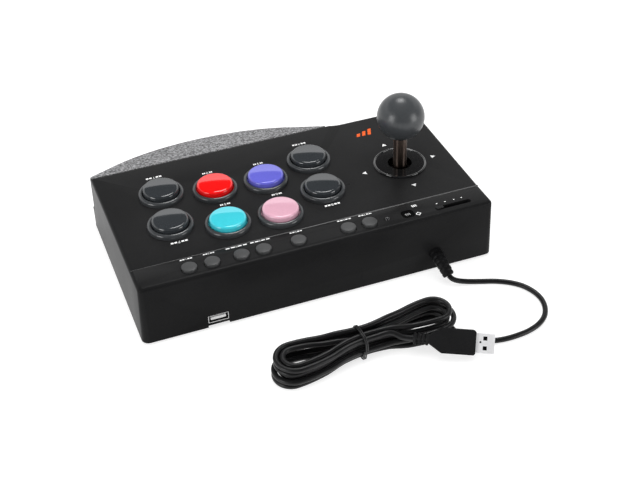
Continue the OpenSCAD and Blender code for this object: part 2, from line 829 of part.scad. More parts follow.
module lever_gimbal() {
    color([0.75, 0.75, 0.72])
    on_lever() translate([0, 0, -pivot_depth]) difference() {
        union() {
            translate([-gimbal_x, -gimbal_y, -gimbal_half_h])
                cube([2 * gimbal_x, 2 * gimbal_y, 2 * gimbal_half_h]);
            translate([-tube_w / 2 + over, 0, 0]) rotate([0, 90, 0])
                cylinder(r = gimbal_pin_r, h = tube_w - 2 * over);
        }
        translate([-gimbal_in_x, -gimbal_in_y, -gimbal_half_h - over])
            cube([2 * gimbal_in_x, 2 * gimbal_in_y, 2 * gimbal_half_h + 2 * over]);
        translate([0, gimbal_y + over, 0]) rotate([90, 0, 0])
            cylinder(r = cross_pin_r + pin_gap, h = 2 * gimbal_y + 2 * over);
    }
}

stud_top = ball_h + ball_d / 6;
module lever_shaft() {
    r = shaft_d / 2;
    s = spindle_d / 2;
    ball_face = ball_h - ball_d / 2 + ball_flat;
    color([0.35, 0.3, 0.27])
    on_lever() {
        rotate_extrude() polygon([
            [0, shaft_end], [s - seat_gap, shaft_end], [s, shaft_end + seat_gap], [s, shoulder],
            [r, shoulder + seat_gap], [r, ball_face - seat_gap], [r - seat_gap, ball_face],
            [s, ball_face], [s, stud_top], [0, stud_top]
        ]);
        translate([0, gimbal_y - seat_gap, -pivot_depth]) rotate([90, 0, 0])
            cylinder(r = cross_pin_r, h = 2 * gimbal_y - 2 * seat_gap);
    }
}

module ball_top() {
    color([0.17, 0.18, 0.185])
    on_lever() difference() {
        translate([0, 0, ball_h]) sphere(d = ball_d, $fn = 96);
        translate([0, 0, ball_h - ball_d]) cylinder(r = shaft_d, h = ball_d / 2 + ball_flat);
        translate([0, 0, ball_h - ball_d / 2])
            cylinder(r = spindle_d / 2 + pin_gap, h = stud_top - ball_h + ball_d / 2 + seat_gap);
    }
}

module dust_washer() {
    swing = washer_reach * tan(lever_tilt) * diagonal;
    hole = shaft_d / 2 / cos(lever_tilt) + swing + seat_gap;
    r = washer_d / 2;
    color([0.02, 0.02, 0.022])
    on_lever() rotate_extrude($fn = 96) polygon([
        [hole, 0], [r, 0], [r, washer_t - washer_edge], [r - washer_edge, washer_t], [hole, washer_t]
    ]);
}

module lever_actuator() {
    color([0.8, 0.8, 0.78])
    on_lever() rotate_extrude() polygon([
        [spindle_d / 2 + pin_gap, actuator_end], [actuator_r - seat_gap, actuator_end],
        [actuator_r, actuator_end + seat_gap], [actuator_r, actuator_top],
        [spindle_d / 2 + pin_gap, actuator_top]
    ]);
}

module lever_spring() {
    head = shoulder - lever_wire / 2 - 0.1 * seat_gap;
    foot = actuator_top + lever_wire / 2 + 0.1 * seat_gap;
    color([0.7, 0.7, 0.72])
    on_lever() tube(coil(lever_coil_r, foot, head, lever_coil_turns), lever_wire / 2, 4);
}

gate_reach = -tube_end + gate_t - pivot_depth;
gate_half = gate_reach * tan(lever_tilt) + spindle_d / 2 / cos(lever_tilt) + seat_gap;
module restrictor_gate() {
    color([0.8, 0.8, 0.78])
    on_lever() translate([0, 0, tube_end - gate_t]) difference() {
        rounded_box(tube_w, tube_w, gate_t, 2);
        translate([0, 0, -over]) rounded_box(2 * gate_half, 2 * gate_half, gate_t + 2 * over, 1);
    }
}

module lever_switches() {
    tip = actuator_reach + seat_gap;
    color([0.05, 0.05, 0.06])
    on_lever() for (a = [0 : 90 : 270]) {
        rotate([0, 0, a]) {
            translate([micro_face, -micro_w / 2, actuator_end + seat_gap])
                cube([micro_deep, micro_w, micro_h]);
            translate([tip, 0, actuator_end + seat_gap + micro_h / 2]) rotate([0, 90, 0])
                cylinder(r = 1, h = micro_tip * 2);
        }
    }
}

// Points of the cord, in the row's own frame, from the strain relief to the hank
grip_run = [
    [-76.3, 79.85, 13.5], [-76.3, 83.5, 13.4], [-76.5, 87.2, 12.6], [-76.9, 90.6, 11.2],
    [-77.5, 93.6, 9.2], [-78.2, 96.2, 7]
];
cord_run = [
    [-78.2, 96.2, 7], [-79.5, 97.8, 5.5], [-81.9, 98.9, 4.1], [-85.4, 99.8, 2.9], [-90.1, 101.1, 2.1],
    [-97, 103.3, 1.7], [-105.8, 106.6, 1.7], [-113.8, 111.2, 1.7], [-120, 117.2, 1.7],
    [-123.8, 125, 1.7], [-124.8, 133, 1.7], [-122.8, 141, 1.7], [-118.4, 147.6, 1.7],
    [-111.8, 152.4, 1.7], [-103.8, 155.3, 1.7], [-95.8, 156.4, 1.7], [-87.8, 156.5, 1.7],
    [-80, 155.2, 1.7], [-72.8, 152, 1.7], [-67, 147, 1.7], [-63.4, 141.9, 1.7],
    [-61.7, 137.3, 1.7], [-61.3, 133, 1.7]
];

// Rounded ribs swell the strain relief along its drooping run
function between(p, t) =
    let (n = len(p) - 1, i = min(floor(t * n), n - 1), f = t * n - i)
    p[i] * (1 - f) + p[i + 1] * f;
module cable_grip() {
    rings = 4 * grip_ribs;
    path = [for (i = [0 : rings]) between(grip_run, i / rings)];
    color([0.035, 0.035, 0.037]) {
        skin([
            for (i = [0 : rings])
                let (
                    taper = grip_r + (grip_tip_r - grip_r) * i / rings,
                    r = taper - (i % 4 == 0 && i > 0 && i < rings ? grip_rib : 0)
                )
                tube_ring(path[i], run_way(path, i), r, 12)
        ]);
        in_case() translate([grip_x, -wall_in, grip_z]) rotate([90, 0, 0]) {
            translate([0, 0, -grip_past]) cylinder(r = grip_neck_r, h = wall_t + 2 * seat_gap + grip_past);
            translate([0, 0, wall_t + seat_gap / 2]) cylinder(r = grip_flange_r, h = grip_flange_t);
        }
    }
}

module cord_tube() {
    color([0.02, 0.02, 0.021]) tube(cord_run, cord_d / 2, 8);
}

// The hank: six loops in four layers, drawn in at the waist by the tie
hank_at = [-4.5, 133.5];
hank_turn = 3;
layer_lean = [0.9, 0.5];
layer_loose = 0.6;
hank_mid = 1.5;
fold_at = 45.8;
loop_step = cord_d + 0.62;
waist_step = cord_d + 0.68;
layer_step = cord_d + 0.55;
fold_r = 6.8;
waist_half = 0.5;
waist_lift = 1.7;
lift_reach = 14;
layer_turns = 1.5;
hank_turns = 6;
fold_rings = 7;
run_rings = 5;
turn_rings = concat(
    [for (i = [0 : fold_rings - 1]) 0.25 * i / fold_rings],
    [for (i = [0 : run_rings - 1]) 0.25 + 0.25 * i / run_rings],
    [for (i = [0 : fold_rings - 1]) 0.5 + 0.25 * i / fold_rings],
    [for (i = [0 : run_rings - 1]) 0.75 + 0.25 * i / run_rings]
);
function smooth(t) = let (c = min(max(t, 0), 1)) c * c * (3 - 2 * c);
function nest(s) = abs((s % (2 * layer_turns)) - layer_turns);
function loop_half(s) = fold_r + loop_step * nest(s);
function waist(s) = waist_half + waist_step * nest(s);
function spread(s, u) = waist(s) + (loop_half(s) - waist(s)) * (1 - cos(180 * abs(u) / fold_at)) / 2;
function climb(s) =
    let (g = s % layer_turns, f = (g - layer_turns + 0.25) / 0.25)
    floor(s / layer_turns) + smooth((f - 0.5) * 2);
function lift(u) = waist_lift * smooth(2 - abs(u) / lift_reach);
function hank_plan(s) =
    let (t = s % 1, f = (t % 0.25) / 0.25)
    t < 0.25 ? [-fold_at + loop_half(s) * cos(90 + 180 * f), loop_half(s) * sin(90 + 180 * f)]
    : t < 0.5 ? let (u = -fold_at + 2 * fold_at * f) [u, -spread(s, u)]
    : t < 0.75 ? [fold_at + loop_half(s) * cos(-90 + 180 * f), loop_half(s) * sin(-90 + 180 * f)]
    : let (u = fold_at - 2 * fold_at * f) [u, spread(s, u)];
function hank_point(s) =
    let (
        q = hank_plan(s),
        p = q + (hank_mid - climb(s)) * layer_lean,
        step = layer_step + layer_loose * smooth(-p[0] / fold_at)
    )
    [
        hank_at[0] + p[0] * cos(hank_turn) - p[1] * sin(hank_turn),
        hank_at[1] + p[0] * sin(hank_turn) + p[1] * cos(hank_turn),
        cord_d / 2 + step * climb(s) + lift(q[0])
    ];
hank_from = 0.125;
hank_to = hank_turns - 0.25 + 0.15;

// The plug lies rolled on its edge beside the hank
plug_rear = [-30.8, 145, 12];
plug_turn = [50, 5, 157.6];
plug_way = [
    cos(plug_turn[1]) * cos(plug_turn[2]), cos(plug_turn[1]) * sin(plug_turn[2]), -sin(plug_turn[1])
];
function bend(a, b, c, d, t) =
    pow(1 - t, 3) * a + 3 * pow(1 - t, 2) * t * b + 3 * (1 - t) * t * t * c + pow(t, 3) * d;
hank_start = hank_point(hank_from) + [-sin(hank_turn), cos(hank_turn), 0] * cord_d / 2;
hank_last = hank_point(hank_to);
tail_end = plug_rear - cord_d * plug_way;
tail_pull = 2 * cord_d;
hank_run = concat(
    [hank_start],
    [for (turn = [0 : hank_turns - 1], s = turn_rings) if (turn + s > hank_from && turn + s < hank_to) hank_point(turn + s)],
    [
        for (i = [0 : 5])
            bend(hank_last, hank_last + [-tail_pull, 0, 0], tail_end - tail_pull * plug_way, tail_end, i / 5)
    ],
    [plug_rear]
);

// Least distance between stretches of the hank that lie more than a few diameters apart
function run_length(p) = [for (i = 0, l = 0; i < len(p); l = l + (i + 1 < len(p) ? norm(p[i + 1] - p[i]) : 0), i = i + 1) l];
function to_stretch(q, a, b) =
    let (ab = b - a, t = min(max((q - a) * ab / (ab * ab), 0), 1))
    norm(q - a - t * ab);
module hank_report(p) {
    at = run_length(p);
    apart = 4 * cord_d;
    gaps = [
        for (i = [0 : len(p) - 1], j = [0 : len(p) - 2])
            if (at[j] - at[i] > apart) to_stretch(p[i], p[j], p[j + 1]) - cord_d
    ];
    echo(str("hank: least gap to itself ", min(gaps), ", length ", at[len(p) - 1], ", rings ", len(p)));
    echo(str("free cord length ", run_length(cord_run)[len(cord_run) - 1]));
}
module cord_hank() {
    hank_report(hank_run);
    color([0.02, 0.02, 0.021]) tube(hank_run, cord_d / 2, 6);
}

tie_t = 1;
tie_w = 3;
tie_low = -8.7;
tie_high = 9.8;
tie_bottom = 0.2;
tie_top = 18.9;
module cord_tie() {
    w = tie_high - tie_low;
    h = tie_top - tie_bottom;
    color([0.03, 0.03, 0.031])
    translate([hank_at[0], hank_at[1], (tie_bottom + tie_top) / 2]) rotate([0, 0, hank_turn])
        translate([tie_w / 2, (tie_low + tie_high) / 2, 0])
        rotate([90, 0, 90]) difference() {
            rounded_box(w, h, tie_w, 3);
            translate([0, 0, -over]) rounded_box(w - 2 * tie_t, h - 2 * tie_t, tie_w + 2 * over, 2.2);
        }
}

plug_relief_l = 9.5;
plug_cone_l = 7.5;
plug_nose = plug_relief_l + plug_cone_l + plug_l;
shell_w = 12;
shell_t = 4.5;
shell_l = 11.4;
shell_wall = 0.35;
module in_plug() {
    translate(plug_rear) rotate(plug_turn) children();
}
module plug_body() {
    relief_r = 2.6;
    ribs = 4;
    rib = plug_relief_l / ribs;
    soft = 1;
    color([0.025, 0.025, 0.026])
    in_plug() {
        intersection() {
            translate([0, 0, -plug_t]) linear_extrude(height = 2 * plug_t) polygon([
                [plug_relief_l - soft, -relief_r], [plug_relief_l, -relief_r],
                [plug_relief_l + plug_cone_l, -plug_w / 2], [plug_nose - soft, -plug_w / 2],
                [plug_nose, -plug_w / 2 + soft], [plug_nose, plug_w / 2 - soft],
                [plug_nose - soft, plug_w / 2], [plug_relief_l + plug_cone_l, plug_w / 2],
                [plug_relief_l, relief_r], [plug_relief_l - soft, relief_r]
            ]);
            rotate([90, 0, 0]) translate([0, 0, -plug_w]) linear_extrude(height = 2 * plug_w) polygon([
                [plug_relief_l - soft, -relief_r], [plug_relief_l, -relief_r],
                [plug_relief_l + plug_cone_l, -plug_t / 2], [plug_nose, -plug_t / 2],
                [plug_nose, plug_t / 2], [plug_relief_l + plug_cone_l, plug_t / 2],
                [plug_relief_l, relief_r], [plug_relief_l - soft, relief_r]
            ]);
        }
        rotate([0, 90, 0]) rotate_extrude() polygon(concat(
            [[0, 0]],
            flat_list([for (i = [0 : ribs - 1]) [
                [relief_r - 0.5, i * rib], [relief_r, i * rib + 0.3 * rib], [relief_r, i * rib + 0.8 * rib]
            ]]),
            [[relief_r - 0.5, plug_relief_l], [0, plug_relief_l]]
        ));
        // Insulator inside the metal shell
        translate([plug_nose - soft, -shell_w / 2 + 2 * shell_wall, -shell_t / 2 + 2 * shell_wall])
            cube([shell_l, shell_w - 4 * shell_wall, shell_t / 2 - 2 * shell_wall]);
    }
}
module plug_shell() {
    hole = 2.4;
    hole_at = 2.9;
    color([0.8, 0.8, 0.82])
    in_plug() translate([plug_nose, 0, 0]) rotate([90, 0, 90]) difference() {
        rounded_box(shell_w, shell_t, shell_l, 0.5);
        translate([0, 0, -over])
            rounded_box(shell_w - 2 * shell_wall, shell_t - 2 * shell_wall, shell_l + 2 * over, 0.3);
        for (side = [-1, 1]) {
            translate([side * hole_at - hole / 2, -shell_t, shell_l / 2 - hole / 2]) cube([hole, 2 * shell_t, hole]);
        }
    }
}

module rubber_feet() {
    color([0.05, 0.05, 0.05])
    for (p = foot_places) {
        in_case() translate([p[0], p[1], -foot_h]) {
            cylinder(d = foot_d, h = foot_h + foot_seat);
        }
    }
}

module screw(bite) {
    translate([0, 0, -screw_head_t]) cylinder(d = screw_head_d, h = screw_head_t);
    translate([0, 0, -screw_head_t / 2]) cylinder(d = screw_d, h = bite + screw_head_t / 2);
}
module screws() {
    color([0.5, 0.5, 0.52]) {
        for (p = boss_places) {
            in_case() translate([p[0], p[1], screw_head_t]) screw(base_t + screw_bite - screw_head_t - over);
        }
        for (p = lever_posts) {
            on_lever() translate([p[0], p[1], plate_top - lever_plate_t])
                screw(lever_plate_t - plate_top - panel_t / 2 - seat_gap);
        }
    }
}

upper_case();
base_cover();
palm_rest();
for (i = [0 : button_count - 1]) {
    button_bezel(i);
    button_cap(i);
    button_spring(i);
}
button_board();
tact_switches();
for (i = [0 : key_count - 1]) {
    key(i);
}
key_board();
mode_window();
mode_slider();
status_led();
usb_port_shell();
usb_port_tongue();
main_board();
lever_housing();
lever_gimbal();
lever_shaft();
ball_top();
dust_washer();
lever_actuator();
lever_spring();
restrictor_gate();
lever_switches();
cable_grip();
cord_tube();
cord_hank();
cord_tie();
plug_body();
plug_shell();
rubber_feet();
screws();
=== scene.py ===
"""Looks of the arcade fight stick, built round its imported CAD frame. Metres, in the row frame."""

import json
import math

import bmesh
import bpy
from mathutils import Matrix, Vector


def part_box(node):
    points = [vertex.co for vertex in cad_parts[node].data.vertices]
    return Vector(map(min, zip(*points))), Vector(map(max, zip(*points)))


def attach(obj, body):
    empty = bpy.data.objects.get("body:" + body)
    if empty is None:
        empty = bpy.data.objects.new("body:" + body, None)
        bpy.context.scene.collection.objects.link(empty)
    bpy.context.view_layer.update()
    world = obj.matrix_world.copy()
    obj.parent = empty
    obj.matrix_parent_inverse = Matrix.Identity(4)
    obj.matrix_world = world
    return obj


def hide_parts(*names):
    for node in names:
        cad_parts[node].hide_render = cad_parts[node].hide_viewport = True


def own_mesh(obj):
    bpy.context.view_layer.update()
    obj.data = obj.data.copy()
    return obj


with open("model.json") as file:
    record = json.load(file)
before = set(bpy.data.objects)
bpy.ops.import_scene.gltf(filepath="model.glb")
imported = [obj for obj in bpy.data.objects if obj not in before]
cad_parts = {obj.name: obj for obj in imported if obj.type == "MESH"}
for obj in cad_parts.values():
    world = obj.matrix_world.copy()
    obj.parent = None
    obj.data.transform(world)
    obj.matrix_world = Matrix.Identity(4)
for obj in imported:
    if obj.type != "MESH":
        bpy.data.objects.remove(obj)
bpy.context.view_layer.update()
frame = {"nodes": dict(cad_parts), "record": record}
nodes = frame["nodes"]
scene = bpy.context.scene
MM = 0.001


# Camera, as fitted to the photograph: azimuth, elevation and roll in degrees, the rest in millimetres
CAMERA_ANGLES = (159.6336, 38.7679, -1.0516)
CAMERA_TARGET, CAMERA_DISTANCE = (-17.74, 25.53, 1.5), 818.66
FOCAL_PX, FRAME_PX, SENSOR = 1231.05, 640, 36


def make_camera():
    """The photograph's view."""
    az, el, roll = (math.radians(a) for a in CAMERA_ANGLES)
    target, distance = Vector(CAMERA_TARGET) * MM, CAMERA_DISTANCE * MM
    back = Vector((math.sin(az) * math.cos(el), -math.cos(az) * math.cos(el), math.sin(el)))
    right = Vector((0, 0, 1)).cross(back).normalized()
    up = back.cross(right)
    c, s = math.cos(roll), math.sin(roll)
    r2, u2 = c * right + s * up, -s * right + c * up
    data = bpy.data.cameras.new("camera")
    data.sensor_fit, data.sensor_width, data.lens = "HORIZONTAL", SENSOR, SENSOR * FOCAL_PX / FRAME_PX
    data.clip_start, data.clip_end = 0.01, 50
    obj = bpy.data.objects.new("camera", data)
    scene.collection.objects.link(obj)
    place = Matrix((r2, u2, back)).transposed().to_4x4()
    place.translation = target + back * distance
    obj.matrix_world = place
    scene.camera = obj


make_camera()


# Frames of the housing: the crease between panel and strip is the origin of both
CREASE_Y, CREASE_Z = 58, 41.8
PANEL_SLOPE, STRIP_SLOPE = (2.2, 107), (1.0, 20.736)


def tilted(rise, run):
    """Gives a function from x, distance and height on a tilted face to the row frame."""
    a = math.atan2(rise, run)

    def at(x, v, w=0.0):
        y = CREASE_Y + v * math.cos(a) - w * math.sin(a)
        z = CREASE_Z + v * math.sin(a) + w * math.cos(a)
        return Vector((x, y, z)) * MM

    at.turn = Matrix.Rotation(a, 4, "X")
    return at


panel = tilted(*PANEL_SLOPE)
strip = tilted(*STRIP_SLOPE)

# Places on the panel, in millimetres: x, then distance from the crease
LEVER = (-78.8, -42.2)
BUTTONS = [(77.5 - 33.8 * i, -57.5 - 11.2 * b) for i, b in enumerate((1, 0.24, 0, 0.97))]
BUTTONS += [(80.9 - 33.8 * i, -18.9 - 15 * b) for i, b in enumerate((1, 0.19, 0, 0.95))]

# Sizes of the pieces made here, in millimetres
# A cap's radius, height, crown, edge radius and slimming; its ceiling, stem radius and stem end
CAP_R, CAP_TOP, CAP_CROWN, CAP_EDGE, CAP_SLIM = 12, 6.7, 0.35, 1.6, 0.35
CEILING, STEM_R, STEM_END = 3.2, 3, -8.94
CAP_SKIN, CAP_FLANGE, SKIRT_END, FLANGE_TOP = 1.4, 0.5, -1.5, 0.2
# Foot of a button's spring, and the share of its length left at full travel
COIL_FOOT, COIL_KEEP = -7.47, 0.715
# The washer's thickness; its lip's radius, half width and height
WASHER_T, LIP_R, LIP_W, LIP_H = 1, 16.8, 0.65, 0.45
# The ribs of the plug's relief: count, half sizes, first start, length, pitch and edge
RIBS, RIB_HALF, RIB_START, RIB_LONG, RIB_PITCH, RIB_EDGE = 4, (3.6, 2.7), 0.5, 1.45, 2.375, 0.5
# The bead's ends, its section as (distance, height), and the scale of that at either end
BEAD_END, BEAD_FULL = 115.2, (0.25, 1.1)
BEAD_SECTION = [(-0.55, -0.02), (-0.3, 0.03), (-0.1, 0.07), (0.1, 0.07), (0.3, 0.03), (0.55, -0.02)]
# The port's tongue: how much lower and narrower it is than its solid, its thickness and its edge
TONGUE_DROP, TONGUE_SIDE, TONGUE_T, TONGUE_EDGE = 1.4, 0.7, 1.9, 0.15
# Its contacts: count, pitch, half width and edge; how far they stop short of the tongue's ends, how deep
# they sink in and how far they stand out
CONTACTS, CONTACT_PITCH, CONTACT_HALF, CONTACT_EDGE = 4, 2.4, 0.5, 0.04
CONTACT_BACK, CONTACT_SHORT, CONTACT_SUNK, CONTACT_PROUD = 2, 0.6, 0.1, 0.08
# A flat dark disc, painted shade of the dimple on the plug's shell: its place in the plug's own frame, and
# its radius
DIMPLE_SHADE_AT, DIMPLE_SHADE_R = (39.9, 0.6, 2.29), 0.62

# Printed marks, in millimetres
# Labels: x, distance from the crease and width on the panel; x and width on the strip
BUTTON_LABELS = [
    (77, -89.9, 10.5), (42.8, -81.5, 6.8), (8.3, -78.7, 6.6), (-25.1, -90.3, 9.5),
    (42.4, -43.3, 6.7), (8.3, -41, 6.8), (80.3, -16.5, 10.7), (-20.6, -16.5, 10.2),
]
KEY_LABELS = [(81.3, 7.6), (67, 7.1), (49.4, 13.6), (34.2, 12.5), (10.8, 8), (-21.3, 9.1), (-35.4, 8.7)]
# Triangles round the lever: x, distance from the crease and the angle that they point at
TRIANGLES = [(-77.9, -66.5, 270), (-53.3, -40.9, 0), (-102.4, -41.6, 180), (-77.6, -16.2, 90)]
# Dots beside the slide switch: their x, distance and radius
SLOT_DOTS_X, SLOT_DOTS_V, SLOT_DOT_R = (-81.9, -87.7, -93.8, -99.1), 8.5, 0.45
# Marks at the window: three slanted bars as x, distance, width, height and lean; their pitch; and a square
# as x, distance, outer and inner radius
WINDOW_BARS, DIAL_BARS, BARS_PITCH = (-68.6, 5, 0.7, 2.2, -0.5), (-61.2, 12.1, 0.7, 2, -0.5), 1.2
WINDOW_SQUARE = (-66.8, 13.9, 1.9, 1.2)


# The cord's way
# Free run and strain relief: the same points as in the part's source
GRIP_RUN = [
    (-76.3, 79.85, 13.5), (-76.3, 83.5, 13.4), (-76.5, 87.2, 12.6), (-76.9, 90.6, 11.2),
    (-77.5, 93.6, 9.2), (-78.2, 96.2, 7),
]
CORD_RUN = [
    (-78.2, 96.2, 7), (-79.5, 97.8, 5.5), (-81.9, 98.9, 4.1), (-85.4, 99.8, 2.9), (-90.1, 101.1, 2.1),
    (-97, 103.3, 1.7), (-105.8, 106.6, 1.7), (-113.8, 111.2, 1.7), (-120, 117.2, 1.7),
    (-123.8, 125, 1.7), (-124.8, 133, 1.7), (-122.8, 141, 1.7), (-118.4, 147.6, 1.7),
    (-111.8, 152.4, 1.7), (-103.8, 155.3, 1.7), (-95.8, 156.4, 1.7), (-87.8, 156.5, 1.7),
    (-80, 155.2, 1.7), (-72.8, 152, 1.7), (-67, 147, 1.7), (-63.4, 141.9, 1.7),
    (-61.7, 137.3, 1.7), (-61.3, 133, 1.7),
]
CORD_D = 3.4
# The strain relief: its radius at either end, and the short straight start
GRIP_R0, GRIP_R1, GRIP_STEP = 4.45, 3.7, 0.06
# Its grooves' pitch, count, first place, depth and half width; how far its end is rounded, and how long
GRIP_PITCH, GRIP_GROOVES, GROOVE_START, GROOVE_DEEP, GROOVE_HALF = 3.3, 5, 2.4, 0.28, 0.5
GRIP_END_DROP, GRIP_END_LONG = 0.5, 0.8
# Its flange inside the wall, as (y, radius)
GRIP_INNER = [(76, 3), (76, 5), (77.2, 5), (77.2, 3), (79.84, 3)]
HANK_AT, FOLD_AT, HANK_TURN = (-4.5, 133.5), 45.8, 3
LAYER_LEAN, LAYER_LOOSE, HANK_MID = (0.9, 0.5), 0.6, 1.5
LOOP_STEP, WAIST_STEP, LAYER_STEP = 4.02, 4.08, 3.95
FOLD_R, WAIST_HALF, WAIST_LIFT, LIFT_REACH = 6.8, 0.5, 1.7, 14
LAYER_TURNS, HANK_TURNS, HANK_START, HANK_SHORT = 1.5, 6, 0.125, 0.1
PLUG_REAR, PLUG_TURN = Vector((-30.8, 145, 12)), (50, 5, 157.6)
# The tie: its left, right, lower and upper side, squareness, place along the hank, pitch and radius
TIE_SIDES, TIE_SQUARE = (-8.1, 9.2, 0.8, 18.3), 0.55
TIE_X, TIE_PITCH, TIE_R = 3, 1.1, 0.45


def smooth(t):
    t = min(max(t, 0), 1)
    return t * t * (3 - 2 * t)


def in_hank(x, y, z):
    a = math.radians(HANK_TURN)
    c, s = math.cos(a), math.sin(a)
    return Vector((HANK_AT[0] + x * c - y * s, HANK_AT[1] + x * s + y * c, z))


def hank_point(s):
    """The hank's centre line after s turns, in millimetres."""
    nest = abs(s % (2 * LAYER_TURNS) - LAYER_TURNS)
    fold, waist = FOLD_R + LOOP_STEP * nest, WAIST_HALF + WAIST_STEP * nest
    t = s % 1
    f = t % 0.25 / 0.25

    def spread(u):
        return waist + (fold - waist) * (1 - math.cos(math.pi * abs(u) / FOLD_AT)) / 2

    if t < 0.25:
        a = math.radians(90 + 180 * f)
        u, v = -FOLD_AT + fold * math.cos(a), fold * math.sin(a)
    elif t < 0.5:
        u = -FOLD_AT + 2 * FOLD_AT * f
        v = -spread(u)
    elif t < 0.75:
        a = math.radians(-90 + 180 * f)
        u, v = FOLD_AT + fold * math.cos(a), fold * math.sin(a)
    else:
        u = FOLD_AT - 2 * FOLD_AT * f
        v = spread(u)
    g = (s % LAYER_TURNS - LAYER_TURNS + 0.25) / 0.25
    layer = math.floor(s / LAYER_TURNS) + smooth((g - 0.5) * 2)
    lift = WAIST_LIFT * smooth(2 - abs(u) / LIFT_REACH)
    x, y = u + (HANK_MID - layer) * LAYER_LEAN[0], v + (HANK_MID - layer) * LAYER_LEAN[1]
    step = LAYER_STEP + LAYER_LOOSE * smooth(-x / FOLD_AT)
    return in_hank(x, y, CORD_D / 2 + step * layer + lift)


def through(points, per):
    """Catmull-Rom samples through points."""
    p = [Vector(q) for q in points]
    p = [2 * p[0] - p[1]] + p + [2 * p[-1] - p[-2]]
    out = []
    for i in range(1, len(p) - 2):
        for j in range(per):
            t = j / per
            out.append(0.5 * (
                2 * p[i] + (p[i + 1] - p[i - 1]) * t
                + (2 * p[i - 1] - 5 * p[i] + 4 * p[i + 1] - p[i + 2]) * t * t
                + (3 * p[i] - p[i - 1] - 3 * p[i + 1] + p[i + 2]) * t ** 3
            ))
    return out + [p[-2]]


def plug_frame():
    a, b, c = (math.radians(v) for v in PLUG_TURN)
    turn = Matrix.Rotation(c, 4, "Z") @ Matrix.Rotation(b, 4, "Y") @ Matrix.Rotation(a, 4, "X")
    return Matrix.Translation(PLUG_REAR * MM) @ turn


PLUG = plug_frame()


def cord_path():
    way = (PLUG.to_3x3() @ Vector((1, 0, 0))).normalized()
    start, end = HANK_START, HANK_TURNS - HANK_SHORT
    per_turn, tail_steps = 96, 12
    run = through(CORD_RUN, 8)
    count = int((end - start) * per_turn)
    run += [hank_point(start + (end - start) * i / count) for i in range(1, count + 1)]
    last = run[-1]
    tail = PLUG_REAR - CORD_D * way
    pull = 2 * CORD_D
    b, c = last + Vector((-pull, 0, 0)), tail - pull * way
    for i in range(1, tail_steps + 1):
        t = i / tail_steps
        run.append((1 - t) ** 3 * last + 3 * (1 - t) ** 2 * t * b + 3 * (1 - t) * t * t * c + t ** 3 * tail)
    run.append(PLUG_REAR)
    return [p * MM for p in run]


# Building and linking
SPLIT_ANGLE, GRIP_SPLIT, WELD_GAP = 35, 50, 0.000002


def link(obj, body, *, replaces=(), mat=None):
    """Puts an object into the scene on a body, with its finish and the nodes it stands for."""
    if obj.name not in scene.collection.objects:
        scene.collection.objects.link(obj)
    if mat:
        obj.data.materials.clear()
        obj.data.materials.append(mat)
    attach(obj, body)
    if replaces:
        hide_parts(*replaces)
    return obj


def mesh_from(name, bm):
    data = bpy.data.meshes.new(name)
    bm.to_mesh(data)
    bm.free()
    return data


def face_up(bm):
    """Turns the faces of a thin piece on the housing to its upper side."""
    bmesh.ops.recalc_face_normals(bm, faces=bm.faces)
    for face in bm.faces:
        if face.normal.z < 0:
            face.normal_flip()


def split_edges(obj, degrees=SPLIT_ANGLE):
    """Keeps edges sharp that bend by more than this."""
    obj.modifiers.new("split", "EDGE_SPLIT").split_angle = math.radians(degrees)


def curve_piece(name, points, radius, resolution=6):
    """A round cord or wire along points, in metres."""
    data = bpy.data.curves.new(name, "CURVE")
    data.dimensions = "3D"
    data.bevel_depth = radius
    data.bevel_resolution = resolution
    data.use_fill_caps = True
    spline = data.splines.new("POLY")
    spline.points.add(len(points) - 1)
    for i, p in enumerate(points):
        spline.points[i].co = (*p, 1)
    spline.use_smooth = True
    return bpy.data.objects.new(name, data)


# Materials
BLACK, WHITE = (0, 0, 0), (1, 1, 1)
# Broad noise: its scale and detail; detail of the fine noise; detail and brokenness of spots
BROAD_SCALE, BROAD_DETAIL, FINE_DETAIL, SPOT_DETAIL, SPOT_BROKEN = 24, 4, 3, 6, 0.7
# Where the ramps of the colour and of worn edges start and end; what lighter grain and worn edges gain
COLOUR_STOPS, EDGE_STOPS, LIGHT_LIFT, WORN_GAIN, WORN_LIFT = (0.35, 0.65), (0.53, 0.62), 0.003, 1.6, 0.03
# Roughness of a coat and the least of any surface; direction of lathe marks, in turns
COAT_ROUGH, LEAST_ROUGH, LATHE_TURN = 0.04, 0.02, 0.25
# Painted shade inside an opening: its dark colour and least share of the surface's own; where on the port's
# shell the painted shade starts and ends
THROAT_PAINTED_SHADE, THROAT_SHADE_LEAST = (0.004, 0.004, 0.004), 0.02
PORT_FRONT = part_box("usb_port_shell")[1].y
PORT_SHADE_SPAN = (PORT_FRONT - 0.0004, PORT_FRONT - 0.00015)


def over(tree, factor, under, top):
    """Lays one colour over another by a factor; either is a socket or three values."""
    mix = tree.nodes.new("ShaderNodeMix")
    mix.data_type = "RGBA"
    tree.links.new(factor, mix.inputs["Factor"])
    for socket, colour in ((mix.inputs[6], under), (mix.inputs[7], top)):
        if isinstance(colour, tuple):
            socket.default_value = (*colour, 1)
        else:
            tree.links.new(colour, socket)
    return mix.outputs[2]


def ramped(tree, value, stops, colours):
    """A colour ramp over a value: its output."""
    node = tree.nodes.new("ShaderNodeValToRGB")
    ramp = node.color_ramp
    while len(ramp.elements) < len(stops):
        ramp.elements.new(stops[-1])
    for element, position, colour in zip(ramp.elements, stops, colours):
        element.position, element.color = position, (*colour, 1)
    tree.links.new(value, node.inputs["Fac"])
    return node.outputs["Color"]


def ranged(tree, value, low, high, start=(0, 1)):
    """A value taken from the start range to the range from low to high: its output."""
    node = tree.nodes.new("ShaderNodeMapRange")
    node.inputs["From Min"].default_value, node.inputs["From Max"].default_value = start
    node.inputs["To Min"].default_value, node.inputs["To Max"].default_value = low, high
    tree.links.new(value, node.inputs["Value"])
    return node.outputs["Result"]


